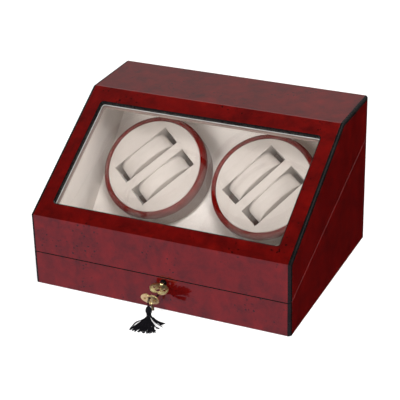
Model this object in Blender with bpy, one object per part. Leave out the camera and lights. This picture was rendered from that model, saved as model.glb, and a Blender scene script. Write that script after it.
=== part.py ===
"""Watch winder box: a lacquered case with a hinged, glazed lid over two motor-driven turntables.

Metres, +Z up. The origin is the middle of the underside, +X is the right-hand side as a person
faces the window, and -Y is the front. The case is built from boards that meet at mitres, and
every board, skin, fitting and pillow is its own object.
"""

import math

import bmesh
import bpy
from mathutils import Matrix, Vector

MM = 0.001

# The case outline
WIDTH = 340 * MM
DEPTH = 267 * MM
HEIGHT = 199.4 * MM
FRONT_HEIGHT = 95.6 * MM
TOP_DEPTH = 92.9 * MM
SPLIT_FRONT = 44.6 * MM
SPLIT_BACK = 145.1 * MM
UNDERSIDE = 0.6 * MM
FRONT = -DEPTH / 2
BACK = DEPTH / 2

# Boards, skins and clearances
BOARD = 9 * MM
SKIN = 1.5 * MM
GAP = 0.3 * MM
HALF_PARTING = 0.35 * MM
MITRE_RELIEF = 0.25 * MM
EDGE_RADIUS = 4 * MM
EDGE_X = WIDTH / 2 - EDGE_RADIUS
INNER_X = WIDTH / 2 - BOARD
SKIN_X = INNER_X - GAP
ROOM_X = SKIN_X - SKIN
FIT_X = ROOM_X - GAP
FLOOR_TOP = 10.3 * MM

# The window in the slanted board
WINDOW_SIDE = 22.7 * MM
WINDOW_TOP = 23.9 * MM
WINDOW_BOTTOM = 22.2 * MM
WINDOW_CORNER = 3.5 * MM
GLASS_TOP = -6 * MM
GLASS_THICKNESS = 3 * MM
GLASS_REBATE = 5 * MM
BEAD_LIP = 1.6 * MM
BEAD_WIDTH = 9 * MM
BEAD_THICKNESS = 2 * MM

# Turntables
TURNTABLE_X = 75.2 * MM
TURNTABLE_Y = 17.3 * MM
TURNTABLE_Z = 110.8 * MM
TURNTABLE_TILT = math.radians(45)
TURNTABLE_REST = {"left": math.radians(51.5), "right": math.radians(55.5)}
RIM_RADIUS = 69.3 * MM
DRUM_RADIUS = 68.6 * MM
PAD_RADIUS = 61.9 * MM
DRUM_DEPTH = 34 * MM
DRUM_BACK = 4.5 * MM
SLOT_LENGTH = 83 * MM
SLOT_WIDTH = 27.5 * MM
SLOT_OFFSET = 20 * MM
PANEL_DEPTH = 38 * MM
PANEL_THICKNESS = 6 * MM
PANEL_LOW, PANEL_HIGH = -97 * MM, 102.5 * MM
SHAFT_RADIUS = 3 * MM

# Pillows: length, width and thickness, and how square the oval is
WATCH_PILLOW = (72 * MM, 24.5 * MM, 35 * MM)
WATCH_BULGE = 2.2
STORAGE_PILLOW = (72 * MM, 44 * MM, 36 * MM)
STORAGE_BULGE = 3.2

# Storage tray
TRAY_FRONT = -114 * MM
TRAY_BACK = -33 * MM
TRAY_TOP = 46 * MM
TRAY_WALL = 3 * MM
STORAGE_COUNT = 6

# Hinge, lock and key
HINGE_RADIUS = 3 * MM
HINGE_WALL = 1.1 * MM
HINGE_LEAF = 14 * MM
HINGE_HALF_LENGTH = 158 * MM
KNUCKLES = 10
CURL = 290
HINGE_Y = BACK + GAP + HINGE_RADIUS
HINGE_Z = SPLIT_BACK
LOCK_X = 8 * MM
LOCK_Z = 38 * MM
PLUG_RADIUS = 3 * MM
PLUG_HOLE = 3.3 * MM
BUSH_RADIUS = 3.9 * MM
KEY_SHAFT = 1.5 * MM
BIT_REACH = 2.7 * MM
KEY_BOW_Y = FRONT - 12.5 * MM
KEY_TILT = math.radians(6)
BOW_DROOP = math.radians(20)
BOW_THICKNESS = 1.6 * MM
SPARE_LEAN = math.radians(20)
LOOP_Y = FRONT - 3 * MM
CORD_RADIUS = 0.5 * MM

# Rear controls
CONTROL_Z = 46 * MM
SOCKET_X = -36 * MM
ROCKER_X = -12 * MM
KNOB_X = {"left": 13 * MM, "right": 36 * MM}

BURL = ((0.19, 0.012, 0.010), 0.12, 0.0)
BLACK_LACQUER = ((0.012, 0.011, 0.011), 0.15, 0.0)
SUEDE = ((0.66, 0.59, 0.51), 0.9, 0.0)
BARE_BOARD = ((0.45, 0.32, 0.20), 0.8, 0.0)
FELT = ((0.02, 0.02, 0.02), 0.95, 0.0)
GLASS = ((0.92, 0.96, 0.95), 0.02, 0.0)
BRASS = ((0.80, 0.58, 0.22), 0.25, 1.0)
STEEL = ((0.60, 0.60, 0.62), 0.3, 1.0)
BLACKENED = ((0.05, 0.045, 0.04), 0.35, 1.0)
BLACK_PLASTIC = ((0.02, 0.02, 0.022), 0.4, 0.0)
CIRCUIT = ((0.02, 0.16, 0.07), 0.5, 0.0)
BLACK_THREAD = ((0.012, 0.012, 0.014), 0.7, 0.0)


# ---------------------------------------------------------------- scene helpers


def clear_scene():
    for old in list(bpy.data.objects):
        bpy.data.objects.remove(old)


def paint(obj, finish):
    colour, roughness, metallic = finish
    material = bpy.data.materials.new(obj.name)
    material.use_nodes = True
    shader = material.node_tree.nodes["Principled BSDF"]
    shader.inputs["Base Color"].default_value = (*colour, 1)
    shader.inputs["Roughness"].default_value = roughness
    shader.inputs["Metallic"].default_value = metallic
    material.diffuse_color = (*colour, 1)
    obj.data.materials.append(material)


def object_of(name, shape, finish=None, smooth=False):
    """An object from a bmesh whose faces are turned outwards."""
    bmesh.ops.recalc_face_normals(shape, faces=shape.faces)
    if shape.calc_volume(signed=True) < 0:
        bmesh.ops.reverse_faces(shape, faces=shape.faces)
    mesh = bpy.data.meshes.new(name)
    shape.to_mesh(mesh)
    shape.free()
    obj = bpy.data.objects.new(name, mesh)
    bpy.context.scene.collection.objects.link(obj)
    if smooth:
        mesh.shade_smooth()
        mesh.set_sharp_from_angle(angle=math.radians(35))
    if finish:
        paint(obj, finish)
    return obj


def axis_empty(name, place, parent=None):
    """An empty that stands on a joint's axis; place is a point or a whole matrix."""
    empty = bpy.data.objects.new(name, None)
    bpy.context.scene.collection.objects.link(empty)
    empty.empty_display_size = 20 * MM
    matrix = place if isinstance(place, Matrix) else Matrix.Translation(place)
    if parent:
        empty.parent = parent
        empty.matrix_parent_inverse = parent.matrix_world.inverted()
    empty.matrix_basis = matrix
    bpy.context.view_layer.update()
    return empty


def carried_by(empty, *objects):
    """The objects are drawn in the box's frame and keep their place under the empty."""
    for obj in objects:
        obj.parent = empty
        obj.matrix_parent_inverse = empty.matrix_world.inverted()
    return objects[0]


def drawn_in(empty, *objects):
    """The objects are drawn in the empty's own frame."""
    for obj in objects:
        obj.parent = empty
    return objects[0]


def helper(obj):
    obj.hide_render = True
    obj.display_type = "WIRE"
    return obj


def boolean(obj, other, operation):
    change = obj.modifiers.new(operation.lower(), "BOOLEAN")
    change.operation = operation
    change.solver = "EXACT"
    change.object = helper(other)
    return obj


def cut(obj, *cutters):
    for cutter in cutters:
        boolean(obj, cutter, "DIFFERENCE")
    return obj


def fuse(obj, *others):
    for other in others:
        boolean(obj, other, "UNION")
    return obj


# ---------------------------------------------------------------- shapes


def box(name, low, high, finish=None):
    shape = bmesh.new()
    bmesh.ops.create_cube(shape, size=1)
    size = Vector(high) - Vector(low)
    middle = (Vector(high) + Vector(low)) / 2
    bmesh.ops.scale(shape, vec=size, verts=shape.verts)
    bmesh.ops.translate(shape, vec=middle, verts=shape.verts)
    return object_of(name, shape, finish)


def extruded(name, outline, start, end, finish=None, to_space=None):
    """A flat outline in local X and Y, made solid from start to end along local Z."""
    shape = bmesh.new()
    face = shape.faces.new([shape.verts.new((a, b, start)) for a, b in outline])
    grown = bmesh.ops.extrude_face_region(shape, geom=[face])["geom"]
    moved = [item for item in grown if isinstance(item, bmesh.types.BMVert)]
    bmesh.ops.translate(shape, vec=(0, 0, end - start), verts=moved)
    if to_space:
        shape.transform(to_space)
    return object_of(name, shape, finish)


# Local X, Y and Z become the box's Y, Z and X: an outline drawn on a side elevation
SIDE_VIEW = Matrix(((0, 0, 1, 0), (1, 0, 0, 0), (0, 1, 0, 0), (0, 0, 0, 1)))


def along_x(name, outline, x0, x1, finish=None):
    return extruded(name, outline, x0, x1, finish, SIDE_VIEW)


def turned(name, profile, steps, finish=None, to_space=None, closed=False):
    """A profile of (radius, height) points spun about local Z."""
    shape = bmesh.new()
    points = [shape.verts.new((radius, 0, height)) for radius, height in profile]
    pairs = list(zip(points, points[1:]))
    if closed:
        pairs.append((points[-1], points[0]))
    edges = [shape.edges.new(pair) for pair in pairs]
    bmesh.ops.spin(
        shape,
        geom=points + edges,
        axis=(0, 0, 1),
        cent=(0, 0, 0),
        steps=steps,
        angle=2 * math.pi,
        use_merge=True,
    )
    bmesh.ops.remove_doubles(shape, verts=shape.verts, dist=1e-6)
    if to_space:
        shape.transform(to_space)
    return object_of(name, shape, finish, smooth=True)


def cylinder(name, radius, start, end, steps, finish=None, to_space=None):
    profile = [(0, start), (radius, start), (radius, end), (0, end)]
    return turned(name, profile, steps, finish, to_space)


def facing_front(x, z):
    """Local Z points out of the front, along -Y, from the point x, z on the plane y = 0."""
    return Matrix.Translation((x, 0, z)) @ Matrix.Rotation(math.pi / 2, 4, "X")


def facing_back(x, z):
    return Matrix.Translation((x, 0, z)) @ Matrix.Rotation(-math.pi / 2, 4, "X")


def arc(centre, radius, start, end, steps):
    """Points on an arc; the angles are in degrees, and radius may be a pair."""
    rx, ry = radius if isinstance(radius, tuple) else (radius, radius)
    angles = [math.radians(start + (end - start) * i / steps) for i in range(steps + 1)]
    return [(centre[0] + rx * math.cos(a), centre[1] + ry * math.sin(a)) for a in angles]


def round_rectangle(low, high, radius, steps=5):
    (x0, y0), (x1, y1) = low, high
    corners = (
        ((x1 - radius, y0 + radius), -90),
        ((x1 - radius, y1 - radius), 0),
        ((x0 + radius, y1 - radius), 90),
        ((x0 + radius, y0 + radius), 180),
    )
    return [p for centre, a in corners for p in arc(centre, radius, a, a + 90, steps)]


def inset(outline, distances):
    """The outline with each side moved inwards by its own distance; side i starts at point i."""
    count = len(outline)
    area = sum(
        outline[i][0] * outline[(i + 1) % count][1] - outline[(i + 1) % count][0] * outline[i][1]
        for i in range(count)
    )
    sides = []
    for i in range(count):
        start = Vector(outline[i])
        run = (Vector(outline[(i + 1) % count]) - start).normalized()
        inwards = Vector((-run.y, run.x)) * math.copysign(1, area)
        sides.append((start + inwards * distances[i], run))
    moved = []
    for i in range(count):
        (a, run_a), (b, run_b) = sides[i - 1], sides[i]
        along = (b - a).cross(run_b) / run_a.cross(run_b)
        moved.append(tuple(a + run_a * along))
    return moved


# ---------------------------------------------------------------- outlines of the case


def split_z(y):
    return SPLIT_FRONT + (y - FRONT) * (SPLIT_BACK - SPLIT_FRONT) / DEPTH


# Sides in order: front, slanted, top, back, parting
LID_OUTLINE = [
    (FRONT, split_z(FRONT) + HALF_PARTING),
    (FRONT, FRONT_HEIGHT),
    (BACK - TOP_DEPTH, HEIGHT),
    (BACK, HEIGHT),
    (BACK, split_z(BACK) + HALF_PARTING),
]
# Sides in order: front, parting, back, underside
BASE_OUTLINE = [
    (FRONT, UNDERSIDE),
    (FRONT, split_z(FRONT) - HALF_PARTING),
    (BACK, split_z(BACK) - HALF_PARTING),
    (BACK, UNDERSIDE),
]


def lid_inset(distance, parting=0.0):
    return inset(LID_OUTLINE, [distance] * 4 + [parting])


def base_inset(distance, underside=0.0, parting=0.0):
    return inset(BASE_OUTLINE, [distance, parting, distance, underside])


SLOPE = math.atan2(HEIGHT - FRONT_HEIGHT, BACK - TOP_DEPTH - FRONT)
SLOPE_LENGTH = math.hypot(HEIGHT - FRONT_HEIGHT, BACK - TOP_DEPTH - FRONT)
SLANT = Matrix.Translation((0, FRONT, FRONT_HEIGHT)) @ Matrix.Rotation(SLOPE, 4, "X")


def window_outline(grow, radius):
    """The window's outline on the slanted board, grown on every side."""
    half = WIDTH / 2 - WINDOW_SIDE + grow
    low = (-half, WINDOW_BOTTOM - grow)
    high = (half, SLOPE_LENGTH - WINDOW_TOP + grow)
    return round_rectangle(low, high, radius)


# ---------------------------------------------------------------- boards and edges


def mitred_board(name, outline, inner, side, relieved, finish=BURL):
    """The board on one side of an outline. Its mitred ends are relieved, so boards don't touch."""
    following = (side + 1) % len(outline)
    run = (Vector(outline[following]) - Vector(outline[side])).normalized() * MITRE_RELIEF
    start = run if relieved[0] else Vector((0, 0))
    end = -run if relieved[1] else Vector((0, 0))
    corners = [
        Vector(outline[side]) + start,
        Vector(outline[following]) + end,
        Vector(inner[following]) + end,
        Vector(inner[side]) + start,
    ]
    half = EDGE_X - GAP
    return along_x(name, [tuple(corner) for corner in corners], -half, half, finish)


def side_board(name, outline_of, side):
    """A side board: its rebate takes the ends of the cross boards, and its rim the black edge."""
    outer = outline_of(EDGE_RADIUS + GAP)
    inner = outline_of(BOARD + GAP)
    x0, x1, x2 = side * INNER_X, side * EDGE_X, side * WIDTH / 2
    board = along_x(name, outer, x1, x2, BURL)
    return fuse(board, along_x(name + "_tongue", inner, x0, x1 + side * MM, None))


def edge_band(name, outline_of, path, side):
    """A quarter-round edge that follows part of the outline, given by its point numbers."""
    profile = [(EDGE_X, EDGE_RADIUS)]
    profile += [
        (x, EDGE_RADIUS - depth)
        for x, depth in arc((EDGE_X, 0), EDGE_RADIUS, 90, 0, 5)
    ]
    shape = bmesh.new()
    rings = []
    insets = [outline_of(depth) for _, depth in profile]
    for point in path:
        ring = [
            shape.verts.new((side * x, *outline[point]))
            for (x, _), outline in zip(profile, insets)
        ]
        rings.append(ring)
    for ring, following in zip(rings, rings[1:]):
        for i in range(len(ring)):
            j = (i + 1) % len(ring)
            shape.faces.new((ring[i], ring[j], following[j], following[i]))
    shape.faces.new(rings[0])
    shape.faces.new(rings[-1])
    return object_of(name, shape, BLACK_LACQUER, smooth=True)


def lining(name, outer, inner):
    """A thin skin inside the boards, open where the inner outline runs past the outer one."""
    skin = along_x(name, outer, -SKIN_X, SKIN_X, SUEDE)
    room = along_x(name + "_room", inner, -ROOM_X, ROOM_X)
    return cut(skin, room)


# ---------------------------------------------------------------- base


def make_base_case():
    inner = base_inset(BOARD)
    front = mitred_board("base_front_board", BASE_OUTLINE, inner, 0, (False, False))
    cut(front, cylinder("plug_way", BUSH_RADIUS + GAP, -FRONT - 12 * MM, -FRONT + MM, 24,
                        to_space=facing_front(LOCK_X, LOCK_Z)))
    back = mitred_board("base_back_board", BASE_OUTLINE, inner, 2, (False, False))
    cut(back, box("control_way", (-44 * MM, BACK - 12 * MM, CONTROL_Z - 10 * MM),
                  (44 * MM, BACK + MM, CONTROL_Z + 10 * MM)))
    for side, sign in (("left", -1), ("right", 1)):
        side_board("base_side_" + side, base_inset, sign)
        edge_band("base_front_edge_" + side, base_inset, (0, 1), sign)
        edge_band("base_back_edge_" + side, base_inset, (2, 3), sign)
    inside = BOARD + GAP
    box("bottom_board", (-SKIN_X, FRONT + inside, 1.3 * MM), (SKIN_X, BACK - inside, FLOOR_TOP),
        BARE_BOARD)
    margin = 4 * MM
    box("underside_felt", (-INNER_X + margin, FRONT + BOARD + margin, 0),
        (INNER_X - margin, BACK - BOARD - margin, MM), FELT)
    outer = base_inset(inside, FLOOR_TOP + GAP - UNDERSIDE)
    room = base_inset(inside + SKIN, -5 * MM, -5 * MM)
    skin = lining("base_lining", outer, room)
    cut(skin, cylinder("lining_plug_way", PLUG_HOLE + MM, -FRONT - 14 * MM, -FRONT + MM, 24,
                       to_space=facing_front(LOCK_X, LOCK_Z)))


def storage_cell(index):
    """The middle and half width of one compartment of the tray, along X."""
    room = 2 * (FIT_X - TRAY_WALL) - (STORAGE_COUNT - 1) * TRAY_WALL
    width = room / STORAGE_COUNT
    first = -FIT_X + TRAY_WALL + width / 2
    return first + index * (width + TRAY_WALL), width / 2


def make_storage():
    floor = FLOOR_TOP + GAP
    tray = box("storage_tray", (-FIT_X, TRAY_FRONT, floor), (FIT_X, TRAY_BACK, TRAY_TOP), SUEDE)
    for index in range(STORAGE_COUNT):
        middle, half = storage_cell(index)
        cell = box(f"storage_cell_{index + 1}",
                   (middle - half, TRAY_FRONT + TRAY_WALL, floor + TRAY_WALL),
                   (middle + half, TRAY_BACK - TRAY_WALL, TRAY_TOP + MM))
        cut(tray, cell)
        bottom = floor + TRAY_WALL + GAP
        place = (middle, (TRAY_FRONT + TRAY_BACK) / 2, bottom + STORAGE_PILLOW[2] / 2)
        lift = axis_empty(f"storage_pillow_{index + 1}_lift", place)
        turn = Matrix.Rotation(math.pi / 2, 4, "Z")
        drawn_in(lift, pillow(f"storage_pillow_{index + 1}", STORAGE_PILLOW, STORAGE_BULGE, turn))


def oval(length, thickness, bulge, steps=28):
    """An outline between an ellipse, at bulge 2, and a rectangle, at a high bulge."""
    points = []
    for step in range(steps):
        angle = 2 * math.pi * (step + 0.5) / steps
        x, z = math.cos(angle), math.sin(angle)
        reach = (abs(x) ** bulge + abs(z) ** bulge) ** (-1 / bulge)
        points.append((length / 2 * x * reach, thickness / 2 * z * reach))
    return points


def pillow(name, size, bulge, turn=None):
    """A pillow with its length on local X, its width on Y and its thickness on Z."""
    length, width, thickness = size
    outline = oval(length, thickness, bulge)
    stand = Matrix.Rotation(math.pi / 2, 4, "X")
    to_space = turn @ stand if turn else stand
    obj = extruded(name, outline, -width / 2, width / 2, SUEDE, to_space)
    soften = obj.modifiers.new("soften", "BEVEL")
    soften.width = 2 * MM
    soften.segments = 1
    soften.limit_method = "ANGLE"
    soften.angle_limit = math.radians(40)
    return obj


# ---------------------------------------------------------------- turntables and drive


def turntable_frame(side):
    """Local Z is the turntable's axis, out of its face; the face lies in the plane Z = 0."""
    sign = -1 if side == "left" else 1
    place = Matrix.Translation((sign * TURNTABLE_X, TURNTABLE_Y, TURNTABLE_Z))
    tilt = Matrix.Rotation(TURNTABLE_TILT, 4, "X")
    return place @ tilt @ Matrix.Rotation(TURNTABLE_REST[side], 4, "Z")


def drum_profile():
    """The rounded rim, the outer wall, the back plate and the inner wall of the cup."""
    inner = PAD_RADIUS + GAP
    rim_middle = inner + 1.8 * MM
    rim = arc((rim_middle, -6 * MM), (RIM_RADIUS - rim_middle, 6.6 * MM), 90, 0, 5)
    back = -DRUM_DEPTH
    return [
        (0, back + DRUM_BACK),
        (inner, back + DRUM_BACK),
        (inner, -0.8 * MM),
        (inner + 0.5 * MM, 0.2 * MM),
        *rim,
        (RIM_RADIUS, -8 * MM),
        (DRUM_RADIUS, -9.5 * MM),
        (DRUM_RADIUS, back + MM),
        (DRUM_RADIUS - MM, back),
        (0, back),
    ]


def make_turntable(side):
    """One turntable with its pad, its drive shaft and its two pillows."""
    axis = axis_empty(f"turntable_{side}_axis", turntable_frame(side))
    drum = turned(f"drum_{side}", drum_profile(), 48, BURL)
    floor = -DRUM_DEPTH + DRUM_BACK + GAP
    pad = cylinder(f"pad_{side}", PAD_RADIUS, floor, 0, 48, SUEDE)
    flange = -DRUM_DEPTH - GAP
    shaft = turned(
        f"drive_shaft_{side}",
        [(0, flange), (12 * MM, flange), (12 * MM, flange - 2.2 * MM),
         (SHAFT_RADIUS, flange - 2.2 * MM), (SHAFT_RADIUS, flange - 22 * MM), (0, flange - 22 * MM)],
        24, STEEL)
    drawn_in(axis, drum, pad, shaft)
    first = 1 if side == "left" else 3
    for number, offset in ((first, SLOT_OFFSET), (first + 1, -SLOT_OFFSET)):
        slot = box(f"slot_{number}",
                   (-SLOT_LENGTH / 2, offset - SLOT_WIDTH / 2, floor - MM),
                   (SLOT_LENGTH / 2, offset + SLOT_WIDTH / 2, MM))
        drawn_in(axis, slot)
        cut(pad, slot)
        seat = Matrix.Translation((0, offset, floor + GAP + WATCH_PILLOW[2] / 2))
        slide = axis_empty(f"watch_pillow_{number}_slide", turntable_frame(side) @ seat, axis)
        drawn_in(slide, pillow(f"watch_pillow_{number}", WATCH_PILLOW, WATCH_BULGE))


def make_drive():
    """The sloping panel that carries the motors, and the motors behind it."""
    middle = Matrix.Translation((0, TURNTABLE_Y, TURNTABLE_Z))
    frame = axis_empty("turntable_panel_frame", middle @ Matrix.Rotation(TURNTABLE_TILT, 4, "X"))
    front, back = -PANEL_DEPTH, -PANEL_DEPTH - PANEL_THICKNESS
    panel = box("turntable_panel", (-FIT_X, PANEL_LOW, back), (FIT_X, PANEL_HIGH, front), SUEDE)
    drawn_in(frame, panel)
    for side, sign in (("left", -1), ("right", 1)):
        across = Matrix.Translation((sign * TURNTABLE_X, 0, 0))
        hole = cylinder("shaft_hole_" + side, 4.5 * MM, back - MM, front + MM, 20, to_space=across)
        start = back - GAP
        bore = SHAFT_RADIUS + 0.4 * MM
        motor = turned(
            "motor_" + side,
            [(bore, start), (20 * MM, start), (20 * MM, start - 2 * MM), (18 * MM, start - 2 * MM),
             (18 * MM, start - 24 * MM), (6 * MM, start - 24 * MM), (6 * MM, start - 28 * MM),
             (0, start - 28 * MM), (0, start - 16 * MM), (bore, start - 16 * MM)],
            24, STEEL, across, closed=True)
        drawn_in(frame, hole, motor)
        cut(panel, hole)


def make_electrics():
    """The circuit board on the floor of the motor space, and the rear plate with its controls."""
    floor = FLOOR_TOP + GAP
    board = box("control_board", (-45 * MM, 84 * MM, floor), (45 * MM, 118 * MM, floor + 1.6 * MM),
                CIRCUIT)
    for index, (x, y, half, tall) in enumerate((
            (-30 * MM, 92 * MM, 6 * MM, 9 * MM), (-8 * MM, 104 * MM, 5 * MM, 3 * MM),
            (12 * MM, 96 * MM, 4 * MM, 7 * MM), (32 * MM, 104 * MM, 7 * MM, 11 * MM))):
        fuse(board, box(f"component_{index + 1}", (x - half, y - half, floor + MM),
                        (x + half, y + half, floor + 1.6 * MM + tall)))
    plate_back, plate_front = BACK + GAP, BACK + 2 * MM
    plate = box("control_plate", (-50 * MM, plate_back, CONTROL_Z - 15 * MM),
                (50 * MM, plate_front, CONTROL_Z + 15 * MM), BLACK_PLASTIC)
    cut(plate, cylinder("socket_hole", 4.6 * MM, BACK - MM, BACK + 3 * MM, 24,
                        to_space=facing_back(SOCKET_X, CONTROL_Z)))
    turned("power_socket",
           [(3.2 * MM, BACK + 2.6 * MM), (4.2 * MM, BACK + 2.6 * MM), (4.2 * MM, BACK - 0.2 * MM),
            (6 * MM, BACK - 0.2 * MM), (6 * MM, BACK - 8 * MM), (0, BACK - 8 * MM),
            (0, BACK - 6.5 * MM), (0, BACK + MM), (MM, BACK + MM), (MM, BACK - 6.5 * MM),
            (3.2 * MM, BACK - 6.5 * MM)],
           24, BLACK_PLASTIC, facing_back(SOCKET_X, CONTROL_Z), closed=True)
    make_rocker(plate)
    for side, x in KNOB_X.items():
        make_mode_knob(plate, side, x)


def make_rocker(plate):
    """A rocker switch that tips about a level axis inside the plate."""
    half_width, half_height = 4.6 * MM, 7.6 * MM
    cut(plate, box("rocker_hole",
                   (ROCKER_X - half_width - 0.5 * MM, BACK - MM, CONTROL_Z - half_height - MM),
                   (ROCKER_X + half_width + 0.5 * MM, BACK + 3 * MM, CONTROL_Z + half_height + MM)))
    axis = axis_empty("power_rocker_axis", (ROCKER_X, BACK, CONTROL_Z))
    y, z = BACK, CONTROL_Z
    outline = [
        (y - 3 * MM, z - 5 * MM), (y + 2.6 * MM, z - half_height), (y + 4.6 * MM, z - 7 * MM),
        (y + 3.2 * MM, z), (y + 4.6 * MM, z + 7 * MM), (y + 2.6 * MM, z + half_height),
        (y - 3 * MM, z + 5 * MM),
    ]
    rocker = along_x("power_rocker", outline, ROCKER_X - half_width, ROCKER_X + half_width,
                     BLACK_PLASTIC)
    carried_by(axis, rocker)


def make_mode_knob(plate, side, x):
    """A programme selector: a grooved knob on a short spindle."""
    frame = facing_back(x, CONTROL_Z)
    cut(plate, cylinder("spindle_hole_" + side, 2 * MM, BACK - MM, BACK + 3 * MM, 16, to_space=frame))
    face = BACK + 2.4 * MM
    knob = turned("mode_knob_" + side,
                  [(0, BACK - 6 * MM), (1.5 * MM, BACK - 6 * MM), (1.5 * MM, face), (7 * MM, face),
                   (7 * MM, face + 5.4 * MM), (6.2 * MM, face + 6.4 * MM), (0, face + 6.4 * MM)],
                  24, BLACK_PLASTIC, frame)
    pointer = box("pointer_groove_" + side, (x - 0.5 * MM, face + 5.6 * MM, CONTROL_Z + 1.5 * MM),
                  (x + 0.5 * MM, face + 8 * MM, CONTROL_Z + 8 * MM))
    cut(knob, pointer)
    carried_by(axis_empty(f"mode_knob_{side}_axis", (x, BACK, CONTROL_Z)), knob, pointer)


# ---------------------------------------------------------------- lid


def make_lid(hinge):
    inner = lid_inset(BOARD)
    front = mitred_board("lid_front_board", LID_OUTLINE, inner, 0, (False, True))
    window = mitred_board("window_board", LID_OUTLINE, inner, 1, (True, True))
    top = mitred_board("lid_top_board", LID_OUTLINE, inner, 2, (True, True))
    back = mitred_board("lid_back_board", LID_OUTLINE, inner, 3, (True, False))
    opening = extruded("window_opening", window_outline(0, WINDOW_CORNER), -20 * MM, 5 * MM,
                       to_space=SLANT)
    rebate = extruded("glass_rebate", window_outline(GLASS_REBATE, WINDOW_CORNER), -20 * MM,
                      GLASS_TOP + GAP, to_space=SLANT)
    cut(window, opening, rebate)
    glass = extruded("window_glass", window_outline(GLASS_REBATE - 0.4 * MM, WINDOW_CORNER - MM),
                     GLASS_TOP - GLASS_THICKNESS, GLASS_TOP, GLASS, SLANT)
    under = GLASS_TOP - GLASS_THICKNESS - GAP
    bead = extruded("glass_bead", window_outline(BEAD_WIDTH, WINDOW_CORNER + 2 * MM),
                    under - BEAD_THICKNESS, under, SUEDE, SLANT)
    cut(bead, extruded("bead_opening", window_outline(-BEAD_LIP, WINDOW_CORNER - MM),
                       under - 2 * BEAD_THICKNESS, under + MM, to_space=SLANT))
    inside = BOARD + GAP
    skin = lining("lid_lining", lid_inset(inside), lid_inset(inside + SKIN, -5 * MM))
    cut(skin, extruded("lining_window", window_outline(BEAD_WIDTH + GAP, WINDOW_CORNER + 2 * MM),
                       -20 * MM, -5 * MM, to_space=SLANT))
    carried_by(hinge, front, window, top, back, glass, bead, skin)
    for side, sign in (("left", -1), ("right", 1)):
        carried_by(hinge, side_board("lid_side_" + side, lid_inset, sign),
                   edge_band("lid_edge_" + side, lid_inset, (0, 1, 2, 3, 4), sign))


def leaf_outline(up):
    """A hinge leaf's section: a flat plate that curls round the pin. up is 1 for the lid's leaf."""
    bore = HINGE_RADIUS - HINGE_WALL
    outside = arc((HINGE_Y, HINGE_Z), HINGE_RADIUS, 180, 180 + up * CURL, 14)
    inside = arc((HINGE_Y, HINGE_Z), bore, 180 + up * CURL, 180, 14)
    end = HINGE_Z + up * HINGE_LEAF
    return [(HINGE_Y - HINGE_RADIUS, end), *outside, *inside, (HINGE_Y - bore, end)]


def make_hinge(hinge):
    """A continuous hinge across the back: two leaves with alternate knuckles on one pin."""
    pitch = 2 * HINGE_HALF_LENGTH / KNUCKLES
    for name, up, parity in (("hinge_base_leaf", -1, 0), ("hinge_lid_leaf", 1, 1)):
        leaf = along_x(name, leaf_outline(up), -HINGE_HALF_LENGTH, HINGE_HALF_LENGTH, BRASS)
        z = sorted((HINGE_Z + up * (HINGE_RADIUS + 0.5 * MM), HINGE_Z - up * 5 * MM))
        for knuckle in range(KNUCKLES):
            if knuckle % 2 == parity:
                continue
            start = -HINGE_HALF_LENGTH + knuckle * pitch
            notch = box(f"{name}_notch_{knuckle}", (start - GAP, HINGE_Y - 5 * MM, z[0]),
                        (start + pitch + GAP, HINGE_Y + 5 * MM, z[1]))
            cut(leaf, notch)
            if up == 1:
                carried_by(hinge, notch)
        if up == 1:
            carried_by(hinge, leaf)
    half = HINGE_HALF_LENGTH + 0.8 * MM
    along = Matrix.Translation((0, HINGE_Y, HINGE_Z)) @ Matrix.Rotation(math.pi / 2, 4, "Y")
    cylinder("hinge_pin", HINGE_RADIUS - HINGE_WALL - 0.4 * MM, -half, half, 16, BRASS, along)


# ---------------------------------------------------------------- lock, keys and tassel


CASE_FRONT = FRONT + BOARD + 2 * GAP + SKIN
CASE_BACK = TRAY_FRONT - 0.4 * MM
CASE_TOP = 47.5 * MM
STAPLE_X = LOCK_X + 10 * MM
BOLT_LOW, BOLT_HIGH = 42.5 * MM, 44.5 * MM
BOLT_Y0, BOLT_Y1 = -118.4 * MM, -116.2 * MM
EYE_CLEARANCE = 0.4 * MM


def make_lock(hinge):
    """The lock on the base: its bolt shoots sideways through a staple that hangs from the lid."""
    case = box("lock_case", (LOCK_X - 17 * MM, CASE_FRONT, 24 * MM),
               (LOCK_X + 18 * MM, CASE_BACK, CASE_TOP), BRASS)
    plug_end = CASE_FRONT + 1.4 * MM
    way = cylinder("case_plug_way", PLUG_HOLE, -plug_end - GAP, -CASE_FRONT + MM, 24,
                   to_space=facing_front(LOCK_X, LOCK_Z))
    pocket = box("staple_pocket", (STAPLE_X - 0.8 * MM, CASE_FRONT - MM, 40 * MM),
                 (STAPLE_X + 2.4 * MM, CASE_BACK - 0.5 * MM, CASE_TOP + MM))
    channel = box("bolt_channel",
                  (LOCK_X - 6 * MM, BOLT_Y0 - EYE_CLEARANCE, BOLT_LOW - EYE_CLEARANCE),
                  (STAPLE_X + 5.2 * MM, BOLT_Y1 + EYE_CLEARANCE, BOLT_HIGH + EYE_CLEARANCE))
    cut(case, way, pocket, channel)
    turned("lock_escutcheon",
           [(PLUG_HOLE, -FRONT - 8 * MM), (BUSH_RADIUS, -FRONT - 8 * MM), (BUSH_RADIUS, -FRONT),
            (PLUG_HOLE, -FRONT)],
           32, BLACKENED, facing_front(LOCK_X, LOCK_Z), closed=True)
    slide = axis_empty("lock_bolt_slide", (LOCK_X, BOLT_Y0, BOLT_LOW))
    bolt = box("lock_bolt", (LOCK_X - 5 * MM, BOLT_Y0, BOLT_LOW),
               (STAPLE_X - 1.5 * MM, BOLT_Y1, BOLT_HIGH), STEEL)
    carried_by(slide, bolt)
    make_staple(hinge)
    return make_plug(plug_end)


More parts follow.
